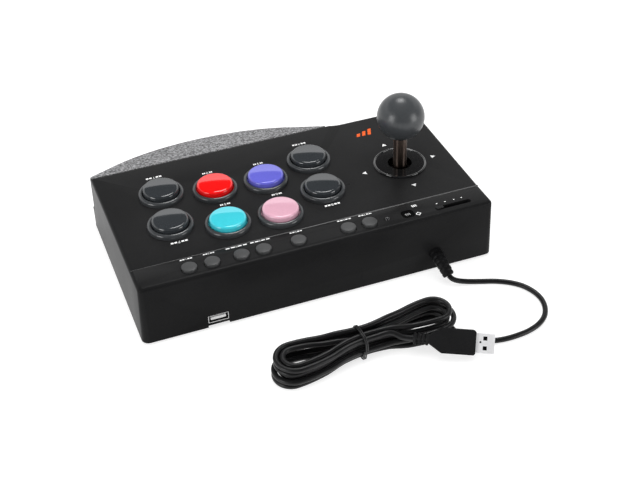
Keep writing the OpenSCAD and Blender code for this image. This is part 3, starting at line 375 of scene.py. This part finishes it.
def noise(tree, place, scale, detail):
    node = tree.nodes.new("ShaderNodeTexNoise")
    node.inputs["Scale"].default_value = scale
    node.inputs["Detail"].default_value = detail
    tree.links.new(place, node.inputs["Vector"])
    return node


def speckled(tree, place, colour, spots):
    """Spots of another colour; spots are (scale, colour, ramp start, ramp end)."""
    scale, spot, *stops = spots
    dots = noise(tree, place, scale, SPOT_DETAIL)
    dots.inputs["Roughness"].default_value = SPOT_BROKEN
    return over(tree, ramped(tree, dots.outputs["Fac"], stops, (BLACK, WHITE)), colour, spot)


def painted_throat_shade(tree, place, colour, shade_span):
    """Painted shade in an opening: the colour turns dark inside, over a range of Y."""
    apart = tree.nodes.new("ShaderNodeSeparateXYZ")
    tree.links.new(place, apart.inputs["Vector"])
    share = ranged(tree, apart.outputs["Y"], THROAT_SHADE_LEAST, 1, shade_span)
    return over(tree, share, THROAT_PAINTED_SHADE, colour)


def worn(tree, colour, base, wear):
    """Edges rubbed lighter."""
    edge = tree.nodes.new("ShaderNodeNewGeometry")
    share = ramped(tree, edge.outputs["Pointiness"], EDGE_STOPS, (BLACK, (wear, wear, wear)))
    return over(tree, share, colour, tuple(min(1, c * WORN_GAIN + WORN_LIFT) for c in base))


def material(name, base, rough, *, vary=0.15, grain=900, bump=0.1, depth=0.00008, coat=0.0, metal=0.0,
             spots=None, wear=0.0, rough_vary=0.06, spec=0.5, streak=None, turned=0.0, shade_span=None):
    """A moulded, painted or metal surface: grain in the colour, the roughness and the bump.

    streak stretches the grain, spots, shade_span (painted shade inside an opening) and wear are as in the
    functions above, and turned is the strength of lathe marks.
    """
    mat = bpy.data.materials.new(name)
    mat.use_nodes = True
    tree = mat.node_tree
    node, wire = tree.nodes.new, tree.links.new
    shader = tree.nodes["Principled BSDF"]
    shader.inputs["Metallic"].default_value = metal
    shader.inputs["Specular IOR Level"].default_value = spec
    shader.inputs["Coat Weight"].default_value = coat
    shader.inputs["Coat Roughness"].default_value = COAT_ROUGH
    place = node("ShaderNodeTexCoord").outputs["Object"]
    mapping = node("ShaderNodeMapping")
    wire(place, mapping.inputs["Vector"])
    if streak:
        mapping.inputs["Scale"].default_value = streak
    grained = mapping.outputs["Vector"]
    fine = noise(tree, grained, grain, FINE_DETAIL)
    broad = noise(tree, grained, BROAD_SCALE, BROAD_DETAIL)
    blend = node("ShaderNodeMix")
    blend.data_type = "FLOAT"
    blend.inputs["Factor"].default_value = 0.5
    wire(fine.outputs["Fac"], blend.inputs[2])
    wire(broad.outputs["Fac"], blend.inputs[3])
    low = [c * (1 - vary) for c in base]
    high = [min(1, c * (1 + vary) + LIGHT_LIFT) for c in base]
    colour = ramped(tree, blend.outputs[0], COLOUR_STOPS, (low, high))
    if spots:
        colour = speckled(tree, grained, colour, spots)
    # Painted shade: the inside of an opening is darkened where shade falls
    if shade_span:
        colour = painted_throat_shade(tree, place, colour, shade_span)
    if wear:
        colour = worn(tree, colour, base, wear)
    wire(colour, shader.inputs["Base Color"])
    smoothest, roughest = max(LEAST_ROUGH, rough - rough_vary), min(1, rough + rough_vary)
    wire(ranged(tree, broad.outputs["Fac"], smoothest, roughest), shader.inputs["Roughness"])
    raised = node("ShaderNodeBump")
    raised.inputs["Strength"].default_value = bump
    raised.inputs["Distance"].default_value = depth
    wire(fine.outputs["Fac"], raised.inputs["Height"])
    wire(raised.outputs["Normal"], shader.inputs["Normal"])
    if turned:
        tangent = node("ShaderNodeTangent")
        tangent.direction_type, tangent.axis = "RADIAL", "Z"
        shader.inputs["Anisotropic"].default_value = turned
        shader.inputs["Anisotropic Rotation"].default_value = LATHE_TURN
        wire(tangent.outputs["Tangent"], shader.inputs["Tangent"])
    return mat


def cap_material(name, base, vary=0.04):
    """Glossy cap plastic: a smooth coat that mirrors the studio."""
    return material(name, base, 0.06, vary=vary, bump=0.01, coat=0.6, rough_vary=0.02)


MATS = {
    "case": material("case_plastic", (0.009, 0.009, 0.0094), 0.3, grain=1500, bump=0.3, wear=0.2,
                     spec=0.05),
    # The bead is the case's plastic made lighter: a painted highlight along the crease
    "bead": material("crease_painted_highlight", (0.06, 0.06, 0.061), 0.3, grain=1500, bump=0.1, spec=0.4),
    "base": material("base_plastic", (0.012, 0.012, 0.0125), 0.55, grain=1200, bump=0.3, spec=0.3),
    "palm": material("palm_mottled", (0.075, 0.075, 0.077), 0.62, grain=1100, bump=0.5, spec=0.3,
                     spots=(620, (0.42, 0.42, 0.43), 0.42, 0.62)),
    "rim": material("rim_plastic", (0.044, 0.047, 0.05), 0.16, grain=1400, bump=0.05, spec=0.6),
    "cap_grey": cap_material("cap_grey", (0.028, 0.032, 0.036), 0.06),
    "cap_red": cap_material("cap_red", (0.9, 0.003, 0.003)),
    "cap_purple": cap_material("cap_purple", (0.13, 0.13, 0.62)),
    "cap_cyan": cap_material("cap_cyan", (0.05, 0.6, 0.7)),
    "cap_pink": cap_material("cap_pink", (0.72, 0.4, 0.5)),
    "key": material("key_plastic", (0.038, 0.039, 0.04), 0.36, grain=1500, bump=0.1),
    "slider": material("slider_plastic", (0.006, 0.006, 0.0065), 0.5, bump=0.12, spec=0.2),
    "lens": material("smoked_lens", (0.002, 0.002, 0.002), 0.08, bump=0.01, spec=0.1),
    "led": material("led_lens", (0.02, 0.02, 0.022), 0.15, bump=0.02, coat=0.6),
    "board": material("solder_mask", (0.01, 0.09, 0.035), 0.35, bump=0.1, grain=500),
    "board_black": material("solder_mask_black", (0.006, 0.008, 0.007), 0.4, bump=0.1, grain=500, spec=0.2),
    "switch": material("switch_plastic", (0.02, 0.02, 0.022), 0.5),
    "spring": material("spring_wire", (0.62, 0.62, 0.64), 0.28, metal=1, bump=0.1),
    # The port's shell is darkened inside its mouth: painted shade
    "port_steel": material("plated_steel_painted_shade", (0.95, 0.95, 0.95), 0.4, metal=0.3, bump=0.08, vary=0.04,
                           streak=(1, 1, 8), shade_span=PORT_SHADE_SPAN),
    "plug_steel": material("brushed_steel", (0.88, 0.88, 0.89), 0.5, metal=0.35, bump=0.08, vary=0.06,
                           streak=(8, 1, 1)),
    "port_plastic": material("port_plastic", (0.95, 0.95, 0.95), 0.4, vary=0.03),
    "lever_black": material("lever_plastic", (0.02, 0.02, 0.021), 0.5, bump=0.2),
    "lever_white": material("lever_nylon", (0.68, 0.68, 0.65), 0.45, vary=0.05),
    "shaft": material("dark_chrome", (0.14, 0.107, 0.09), 0.3, metal=1, vary=0.1, bump=0.03,
                      streak=(1, 1, 0.05), turned=0.9),
    "ball": material("ball_plastic", (0.05, 0.054, 0.058), 0.3, grain=1600, bump=0.04, vary=0.06),
    "washer": material("washer_gloss", (0.006, 0.006, 0.0065), 0.05, bump=0.01, coat=0.2, spec=0.4),
    "lip": material("washer_rim", (0.012, 0.012, 0.013), 0.08, bump=0.01, coat=1.0, spec=1.0),
    "cord": material("cord_jacket", (0.0065, 0.0065, 0.007), 0.33, grain=700, bump=0.08, spec=0.3),
    "grip": material("grip_rubber", (0.004, 0.004, 0.0045), 0.5, grain=900, bump=0.2, spec=0.15),
    "tie": material("tie_plastic", (0.009, 0.009, 0.0095), 0.3, grain=900, bump=0.1),
    "plug": material("plug_moulding", (0.0085, 0.0085, 0.009), 0.45, grain=1300, bump=0.2, spec=0.15),
    "rubber": material("foot_rubber", (0.01, 0.01, 0.01), 0.75, bump=0.3),
    "screw": material("screw_steel", (0.45, 0.45, 0.46), 0.35, metal=1),
}
PRINT_WHITE = material("print_white", (0.95, 0.95, 0.95), 0.5, vary=0.03, bump=0.05)
PRINT_GREY = material("print_grey", (0.3, 0.3, 0.3), 0.5, vary=0.05, bump=0.05)
PRINT_ORANGE = material("print_orange", (0.8, 0.11, 0.012), 0.5, vary=0.08, bump=0.05, spec=0.2)

# Nodes whose finish isn't their slot's
OWN_LOOK = {
    "mode_slider": "slider", "plug_shell": "plug_steel", "lever_gimbal": "lever_black",
    "key_board": "board_black",
}
SLOT_OF = {s["node"]: s["material_slot"] for s in frame["record"]["subparts"]}


def dress(obj, mat):
    """Gives a node its finish and smooth shading. Its own vertices stay."""
    obj.data.materials.clear()
    obj.data.materials.append(mat)
    for poly in obj.data.polygons:
        poly.use_smooth = True
    obj.modifiers.new("weld", "WELD").merge_threshold = WELD_GAP
    split_edges(obj)


for name, obj in nodes.items():
    dress(obj, MATS[OWN_LOOK.get(name, SLOT_OF[name])])


# The cord, its tie and its plug
def make_cord():
    points = cord_path()
    cord = link(curve_piece("cord", points, CORD_D / 2 * MM), "housing",
                replaces=("cord_tube", "cord_hank"), mat=MATS["cord"])
    return cord, points


def make_grip():
    """The tapered strain relief with shallow grooves, its neck and its flange in the wall."""
    points = [Vector(q) for q in GRIP_RUN]
    points = [points[0], points[0] + Vector((0, GRIP_STEP, 0))] + through(points, 12)[1:]
    run = [0.0]
    for p, q in zip(points, points[1:]):
        run.append(run[-1] + (q - p).length)
    last = len(points) - 1
    way = [(points[min(i + 1, last)] - points[max(i - 1, 0)]).normalized() for i in range(last + 1)]
    rings = []
    for p, w, d in zip(points, way, run):
        t = d / run[-1]
        r = GRIP_R0 + (GRIP_R1 - GRIP_R0) * t
        beat = (d - GROOVE_START) / GRIP_PITCH
        near = abs(beat - round(beat)) * GRIP_PITCH
        if 0 <= round(beat) < GRIP_GROOVES:
            r -= GROOVE_DEEP * smooth(1.5 - near / GROOVE_HALF)
        r -= GRIP_END_DROP * smooth(1 - (run[-1] - d) / GRIP_END_LONG)
        rings.append((p, w, r))
    x, _, z = GRIP_RUN[0]
    rings = [(Vector((x, y, z)), Vector((0, 1, 0)), r) for y, r in GRIP_INNER] + rings
    bm = bmesh.new()
    sides, loops = 28, []
    for p, w, r in rings:
        u = Vector((1, 0, 0))
        u = (u - u.dot(w) * w).normalized()
        v = w.cross(u)
        loops.append([])
        for k in range(sides):
            a = 2 * math.pi * k / sides
            loops[-1].append(bm.verts.new((p + r * (math.cos(a) * u + math.sin(a) * v)) * MM))
    for lo, hi in zip(loops, loops[1:]):
        for k in range(sides):
            bm.faces.new((lo[k], lo[(k + 1) % sides], hi[(k + 1) % sides], hi[k]))
    bm.faces.new(loops[0][::-1])
    bm.faces.new(loops[-1])
    bmesh.ops.recalc_face_normals(bm, faces=bm.faces)
    data = mesh_from("grip_ribbed", bm)
    grip = link(bpy.data.objects.new("grip_ribbed", data), "housing", replaces=("cable_grip",),
                mat=MATS["grip"])
    for poly in data.polygons:
        poly.use_smooth = True
    split_edges(grip, GRIP_SPLIT)


def make_tie():
    """The tie, wrapped twice round the waist."""
    low, high, bottom, top = TIE_SIDES
    mid, half_w, half_h = (low + high) / 2, (high - low) / 2, (top - bottom) / 2
    points = []
    turns, steps = 2, 64
    for i in range(turns * steps + 1):
        a = 2 * math.pi * i / steps
        c, s = math.cos(a), math.sin(a)
        y = mid + half_w * math.copysign(abs(c) ** TIE_SQUARE, c)
        z = bottom + half_h + half_h * math.copysign(abs(s) ** TIE_SQUARE, s)
        points.append(in_hank(TIE_X + (i / steps - turns / 2) * TIE_PITCH, y, z) * MM)
    band = curve_piece("tie_wrap", points, TIE_R * MM, 3)
    return link(band, "housing", replaces=("cord_tie",), mat=MATS["tie"])


cord, cord_points = make_cord()
make_grip()
tie = make_tie()


# Printed marks
# How far a print lies above its face, and a print on top of another piece; all in millimetres
PRINT_LIFT, PRINT_LIFT_HIGH = 0.06, 0.09
# Heights of the figures on the panel and the strip; the figure's width, the bars' gap and half height as
# shares of its height; the bars' parts as shares of their length
PANEL_FIGURE, STRIP_FIGURE, FIGURE_SHARE, BAR_GAP, BAR_HALF = 3.2, 2.1, 0.85, 0.42, 0.23
BAR_PARTS = ((0, 0.44), (0.58, 1))
KEY_LABEL_V, TRIANGLE_R = 1.6, 1.9


def print_mesh(name, at, outlines, mat, lift=PRINT_LIFT):
    """Flat printed shapes on a face: outlines are lists of (x, v) in millimetres."""
    bm = bmesh.new()
    for outline in outlines:
        bm.faces.new([bm.verts.new(at(x, v, lift)) for x, v in outline])
    face_up(bm)
    return link(bpy.data.objects.new(name, mesh_from(name, bm)), "housing", mat=mat)


def box_outline(x, v, w, h, slant):
    """A bar round a centre, its upper end moved sideways by the slant."""
    low = [(x - w / 2, v - h / 2), (x + w / 2, v - h / 2)]
    return low + [(x + w / 2 + slant, v + h / 2), (x - w / 2 + slant, v + h / 2)]


def bars(x, v, w, h, slant):
    """Three slanted bars side by side."""
    return [box_outline(x + BARS_PITCH * i, v, w, h, slant) for i in range(3)]


def disc(x, v, r, count=24, start=0.0):
    """A regular outline with its first corner at the start angle, in degrees."""
    angles = (math.radians(start) + i * 2 * math.pi / count for i in range(count))
    return [(x + r * math.cos(a), v + r * math.sin(a)) for a in angles]


def label(name, text, at, x, v, width, size):
    """A plain printed number between short bars, upright for the player."""
    data = bpy.data.curves.new(name, "FONT")
    data.body, data.size = text, size * MM
    data.align_x, data.align_y = "CENTER", "CENTER"
    obj = bpy.data.objects.new(name, data)
    scene.collection.objects.link(obj)
    bpy.context.view_layer.update()
    mesh = bpy.data.meshes.new_from_object(obj.evaluated_get(bpy.context.evaluated_depsgraph_get()))
    mesh.transform(Matrix.Translation(at(x, v, PRINT_LIFT)) @ at.turn)
    bpy.data.objects.remove(obj)
    bm = bmesh.new()
    bm.from_mesh(mesh)
    bar, gap = (width - FIGURE_SHARE * size) / 2, BAR_GAP * size
    half = BAR_HALF * size
    for side in (-1, 1):
        for start, end in BAR_PARTS:
            x0, x1 = (x + side * (gap + bar * t) for t in (start, end))
            corners = ((x0, -half), (x1, -half), (x1, half), (x0, half))
            bm.faces.new([bm.verts.new(at(px, v + pv, PRINT_LIFT)) for px, pv in corners])
    up = at.turn @ Vector((0, 0, 1))
    for face in bm.faces:
        face.normal_update()
        if face.normal.dot(up) < 0:
            face.normal_flip()
    bm.to_mesh(mesh)
    bm.free()
    return link(bpy.data.objects.new(name, mesh), "housing", mat=PRINT_WHITE)


def rounded_bar(name, low, high, edge):
    """A bar with rounded edges between two corners, in millimetres."""
    bm = bmesh.new()
    bmesh.ops.create_cube(bm, size=1)
    size = [b - a for a, b in zip(low, high)]
    for vert in bm.verts:
        vert.co = Vector([(a + (0.5 + c) * d) * MM for a, c, d in zip(low, vert.co, size)])
    bmesh.ops.bevel(bm, geom=bm.edges[:], offset=edge * MM, segments=3, profile=0.5, affect="EDGES")
    return bpy.data.objects.new(name, mesh_from(name, bm))


def make_port_tongue():
    """The port's tongue at mid height, its four contacts let into the upper face."""
    low, high = (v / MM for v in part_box("usb_port_tongue"))
    floor_z = low.z - TONGUE_DROP
    tongue = rounded_bar("port_tongue", (low.x + TONGUE_SIDE, low.y, floor_z),
                         (high.x - TONGUE_SIDE, high.y, floor_z + TONGUE_T), TONGUE_EDGE)
    link(tongue, "housing", replaces=("usb_port_tongue",), mat=MATS["port_plastic"])
    for i in range(CONTACTS):
        x = (low.x + high.x) / 2 + CONTACT_PITCH * (i - (CONTACTS - 1) / 2)
        start = (x - CONTACT_HALF, low.y + CONTACT_BACK, floor_z + TONGUE_T - CONTACT_SUNK)
        end = (x + CONTACT_HALF, high.y - CONTACT_SHORT, floor_z + TONGUE_T + CONTACT_PROUD)
        contact = rounded_bar(f"port_contact_{i + 1}", start, end, CONTACT_EDGE)
        link(contact, "housing", mat=MATS["plug_steel"])


def revolved(name, profile, place, count=72):
    """A turned piece: profile points are (radius, height) in millimetres, outside from the lower end up."""
    bm = bmesh.new()
    rings = []
    for r, h in profile:
        if r < 1e-6:
            rings.append([bm.verts.new((0, 0, h * MM))])
            continue
        angles = (2 * math.pi * k / count for k in range(count))
        rings.append([bm.verts.new((r * math.cos(a) * MM, r * math.sin(a) * MM, h * MM)) for a in angles])
    for lo, hi in zip(rings, rings[1:]):
        for k in range(count):
            q = (k + 1) % count
            if len(lo) == 1:
                bm.faces.new((lo[0], hi[q], hi[k]))
            elif len(hi) == 1:
                bm.faces.new((lo[k], lo[q], hi[0]))
            else:
                bm.faces.new((lo[k], lo[q], hi[q], hi[k]))
    if len(rings[0]) > 1 and len(rings[-1]) > 1:
        for k in range(count):
            q = (k + 1) % count
            bm.faces.new((rings[-1][k], rings[-1][q], rings[0][q], rings[0][k]))
    bmesh.ops.recalc_face_normals(bm, faces=bm.faces)
    for face in bm.faces:
        face.smooth = True
    data = mesh_from(name, bm)
    data.transform(place)
    obj = bpy.data.objects.new(name, data)
    split_edges(obj)
    return obj


def on_panel(x, v):
    return Matrix.Translation(panel(x, v)) @ panel.turn


def make_cap(i):
    """A button's cap with its shallow dome, the flange and the stem below."""
    top = CAP_TOP - CAP_CROWN
    profile = [
        (0, STEM_END), (STEM_R, STEM_END), (STEM_R, CEILING), (CAP_R - CAP_SKIN, CEILING),
        (CAP_R - CAP_SKIN, SKIRT_END), (CAP_R + CAP_FLANGE, SKIRT_END), (CAP_R + CAP_FLANGE, FLANGE_TOP),
        (CAP_R - CAP_SLIM, FLANGE_TOP),
    ]
    flat = CAP_R - CAP_SLIM - CAP_EDGE
    bends, rings = 8, 7
    for k in range(bends + 1):
        a = math.radians(90 / bends * k)
        profile.append((flat + CAP_EDGE * math.cos(a), top - CAP_EDGE + CAP_EDGE * math.sin(a)))
    for k in range(1, rings + 1):
        r = flat * (1 - k / rings)
        profile.append((r, top + CAP_CROWN * (1 - (r / flat) ** 2)))
    node = f"button_cap_{i + 1}"
    cap = revolved(f"cap_smooth_{i + 1}", profile, on_panel(*BUTTONS[i]))
    link(cap, f"button_{i + 1}", replaces=(node,), mat=MATS[SLOT_OF[node]])


def make_coil(i):
    """A button's return spring, on its own copy of its node's mesh."""
    node = f"button_spring_{i + 1}"
    coil = bpy.data.objects.new(f"coil_{i + 1}", nodes[node].data.copy())
    scene.collection.objects.link(coil)
    coil.matrix_world = nodes[node].matrix_world.copy()
    link(coil, "housing", replaces=(node,), mat=MATS["spring"])
    foot = on_panel(*BUTTONS[i]) @ Vector((0, 0, COIL_FOOT * MM))
    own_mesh(coil)


def make_washer_lip():
    """The low rounded lip round the washer's rim."""
    steps, sunk, sides = 10, 0.1, 128
    profile = [(LIP_R + LIP_W, WASHER_T - sunk)]
    for k in range(steps + 1):
        a = math.pi * k / steps
        profile.append((LIP_R + LIP_W * math.cos(a), WASHER_T + LIP_H * math.sin(a)))
    profile.append((LIP_R - LIP_W, WASHER_T - sunk))
    lip = revolved("washer_lip", profile, on_panel(*LEVER), sides)
    link(lip, "housing", mat=MATS["lip"])


def make_relief_ribs():
    """The thick ribs of the plug's strain relief."""
    for i in range(RIBS):
        start = RIB_START + RIB_PITCH * i
        low = (start, -RIB_HALF[0], -RIB_HALF[1])
        high = (start + RIB_LONG, RIB_HALF[0], RIB_HALF[1])
        rib = rounded_bar(f"relief_rib_{i + 1}", low, high, RIB_EDGE)
        rib.data.transform(PLUG)
        for poly in rib.data.polygons:
            poly.use_smooth = True
        link(rib, "housing", mat=MATS["plug"])


def make_dimple_shade():
    """A flat dark disc as painted shade where the plug's shell has its small round dimple."""
    bm = bmesh.new()
    bmesh.ops.create_circle(bm, cap_ends=True, segments=24, radius=DIMPLE_SHADE_R * MM)
    data = mesh_from("dimple_painted_shade", bm)
    data.transform(PLUG @ Matrix.Translation(Vector(DIMPLE_SHADE_AT) * MM))
    link(bpy.data.objects.new("dimple_painted_shade", data), "housing", mat=MATS["lens"])


make_port_tongue()
make_dimple_shade()
make_washer_lip()
make_relief_ribs()
for i in range(len(BUTTONS)):
    make_cap(i)
    make_coil(i)


def make_highlight_bead():
    """A fine raised bead along the crease between panel and strip, lighter than the case as a painted
    highlight, fuller towards the lever's side.
    """
    bm = bmesh.new()
    rows, section = [], BEAD_SECTION
    for x, full in zip((BEAD_END, -BEAD_END), BEAD_FULL):
        rows.append([bm.verts.new((panel if v < 0 else strip)(x, v * full, w * full)) for v, w in section])
    for i in range(len(section) - 1):
        bm.faces.new((rows[0][i], rows[0][i + 1], rows[1][i + 1], rows[1][i]))
    face_up(bm)
    for face in bm.faces:
        face.smooth = True
    link(bpy.data.objects.new("crease_bead_painted_highlight", mesh_from("crease_bead_painted_highlight", bm)), "housing",
         mat=MATS["bead"])


make_highlight_bead()
print_mesh("print_directions", panel, [disc(x, v, TRIANGLE_R, 3, angle) for x, v, angle in TRIANGLES],
           PRINT_WHITE)
print_mesh("print_accent", panel, [
    box_outline(-67.4 - 4.6 * i, -84.8 - 0.7 * i, 2.4, 3.4 + 1.8 * i, 1.4 + 0.6 * i) for i in range(3)
], PRINT_ORANGE)
for i, (x, v, width) in enumerate(BUTTON_LABELS):
    label(f"print_number_{i + 1}", str(i + 1), panel, x, v, width, PANEL_FIGURE)
for i, (x, width) in enumerate(KEY_LABELS):
    label(f"print_key_{i + 1}", str(i + 1), strip, x, KEY_LABEL_V, width, STRIP_FIGURE)
print_mesh("print_slot_dots", strip, [disc(x, SLOT_DOTS_V, SLOT_DOT_R) for x in SLOT_DOTS_X], PRINT_WHITE)
print_mesh("print_window_bars", strip, bars(*WINDOW_BARS), PRINT_WHITE)
print_mesh("print_window_dial", strip, bars(*DIAL_BARS), PRINT_GREY, lift=PRINT_LIFT_HIGH)
outer, inner = (disc(*WINDOW_SQUARE[:2], r, 4) for r in WINDOW_SQUARE[2:])
print_mesh("print_window_square", strip, [
    [outer[i], outer[(i + 1) % 4], inner[(i + 1) % 4], inner[i]] for i in range(4)
], PRINT_WHITE)


# Stage and light
# The floor's size, grey, and glow to the camera and to mirrors
FLOOR_SIZE, FLOOR_GREY, FLOOR_GLOW, FLOOR_MIRRORED = 14, 0.5, 0.7, 0.6
# The world's light; what mirrors see of it, as greys by height, and its strength from near to far along Y
WORLD_LIGHT, SWEEP_HEIGHTS = 0.4, (0.3, 0.524, 0.534)
SWEEP_GREYS = ((0.5, 0.5, 0.5), (1, 1, 1), (0.05, 0.05, 0.05))
SWEEP_Y, SWEEP_LEVEL = (0.35, -0.25), (0.2, 1.4)
# Soft boxes: place, what they are turned to, width and height, watts, and whether gloss mirrors them
BALL_AT = (-0.08, 0.02, 0.09)
LAMPS = (
    ("overhead", (0.1, 0.1, 1.5), (0, 0, 0), (1.4, 1.4), 12, False),
    ("far_box", (-0.313, -0.607, 1.403), BALL_AT, (0.56, 0.56), 8.5, True),
    ("left_box", (1.32, 0.52, 0.42), BALL_AT, (0.65, 0.75), 7.5, True),
    ("right_box", (-1.08, 1.12, 0.3), BALL_AT, (0.65, 0.75), 7.5, True),
)


def make_floor():
    """A white floor that also glows for the camera."""
    bpy.ops.mesh.primitive_plane_add(size=FLOOR_SIZE, location=(0, 0, 0))
    floor = bpy.context.object
    floor.name = "floor"
    mat = bpy.data.materials.new("floor_white")
    mat.use_nodes = True
    mat.node_tree.nodes.clear()
    node, wire = mat.node_tree.nodes.new, mat.node_tree.links.new
    out = node("ShaderNodeOutputMaterial")
    diffuse = node("ShaderNodeBsdfDiffuse")
    diffuse.inputs["Color"].default_value = (FLOOR_GREY, FLOOR_GREY, FLOOR_GREY, 1)
    glow = node("ShaderNodeEmission")
    glow.inputs["Color"].default_value = (1, 1, 1, 1)
    path = node("ShaderNodeLightPath")
    seen = node("ShaderNodeMath")
    seen.operation = "MULTIPLY"
    seen.inputs[1].default_value = FLOOR_GLOW
    wire(path.outputs["Is Camera Ray"], seen.inputs[0])
    level = node("ShaderNodeMath")
    level.operation = "MULTIPLY_ADD"
    level.inputs[1].default_value = FLOOR_MIRRORED
    wire(path.outputs["Is Glossy Ray"], level.inputs[0])
    wire(seen.outputs[0], level.inputs[2])
    wire(level.outputs[0], glow.inputs["Strength"])
    add = node("ShaderNodeAddShader")
    wire(diffuse.outputs[0], add.inputs[0])
    wire(glow.outputs[0], add.inputs[1])
    wire(add.outputs[0], out.inputs["Surface"])
    floor.data.materials.append(mat)


def make_world():
    """A white studio that mirrors see as a bright sweep under a dark ceiling."""
    world = bpy.data.worlds.new("studio")
    scene.world = world
    world.use_nodes = True
    node, wire = world.node_tree.nodes.new, world.node_tree.links.new
    back = world.node_tree.nodes["Background"]
    back.inputs["Color"].default_value = (1, 1, 1, 1)
    place = node("ShaderNodeTexCoord")
    split = node("ShaderNodeSeparateXYZ")
    wire(place.outputs["Generated"], split.inputs["Vector"])
    seen = node("ShaderNodeMath")
    seen.operation = "MULTIPLY"
    wire(ramped(world.node_tree, split.outputs["Z"], SWEEP_HEIGHTS, SWEEP_GREYS), seen.inputs[0])
    wire(ranged(world.node_tree, split.outputs["Y"], *SWEEP_LEVEL, SWEEP_Y), seen.inputs[1])
    path = node("ShaderNodeLightPath")
    glossy = node("ShaderNodeMix")
    glossy.data_type = "FLOAT"
    glossy.inputs[2].default_value = WORLD_LIGHT
    wire(path.outputs["Is Glossy Ray"], glossy.inputs["Factor"])
    wire(seen.outputs[0], glossy.inputs[3])
    level = node("ShaderNodeMix")
    level.data_type = "FLOAT"
    level.inputs[3].default_value = 1
    wire(path.outputs["Is Camera Ray"], level.inputs["Factor"])
    wire(glossy.outputs[0], level.inputs[2])
    wire(level.outputs[0], back.inputs["Strength"])


def lamp(name, place, aim, size, power, mirrored):
    data = bpy.data.lights.new(name, "AREA")
    data.energy = power
    data.shape, data.size, data.size_y = "RECTANGLE", *size
    obj = bpy.data.objects.new(name, data)
    scene.collection.objects.link(obj)
    obj.location = place
    obj.visible_glossy = mirrored
    obj.rotation_euler = (Vector(place) - Vector(aim)).to_track_quat("Z", "Y").to_euler()


make_floor()
make_world()
for name, place, aim, size, power, mirrored in LAMPS:
    lamp(name, place, aim, size, power, mirrored)
scene.view_settings.view_transform = "Standard"
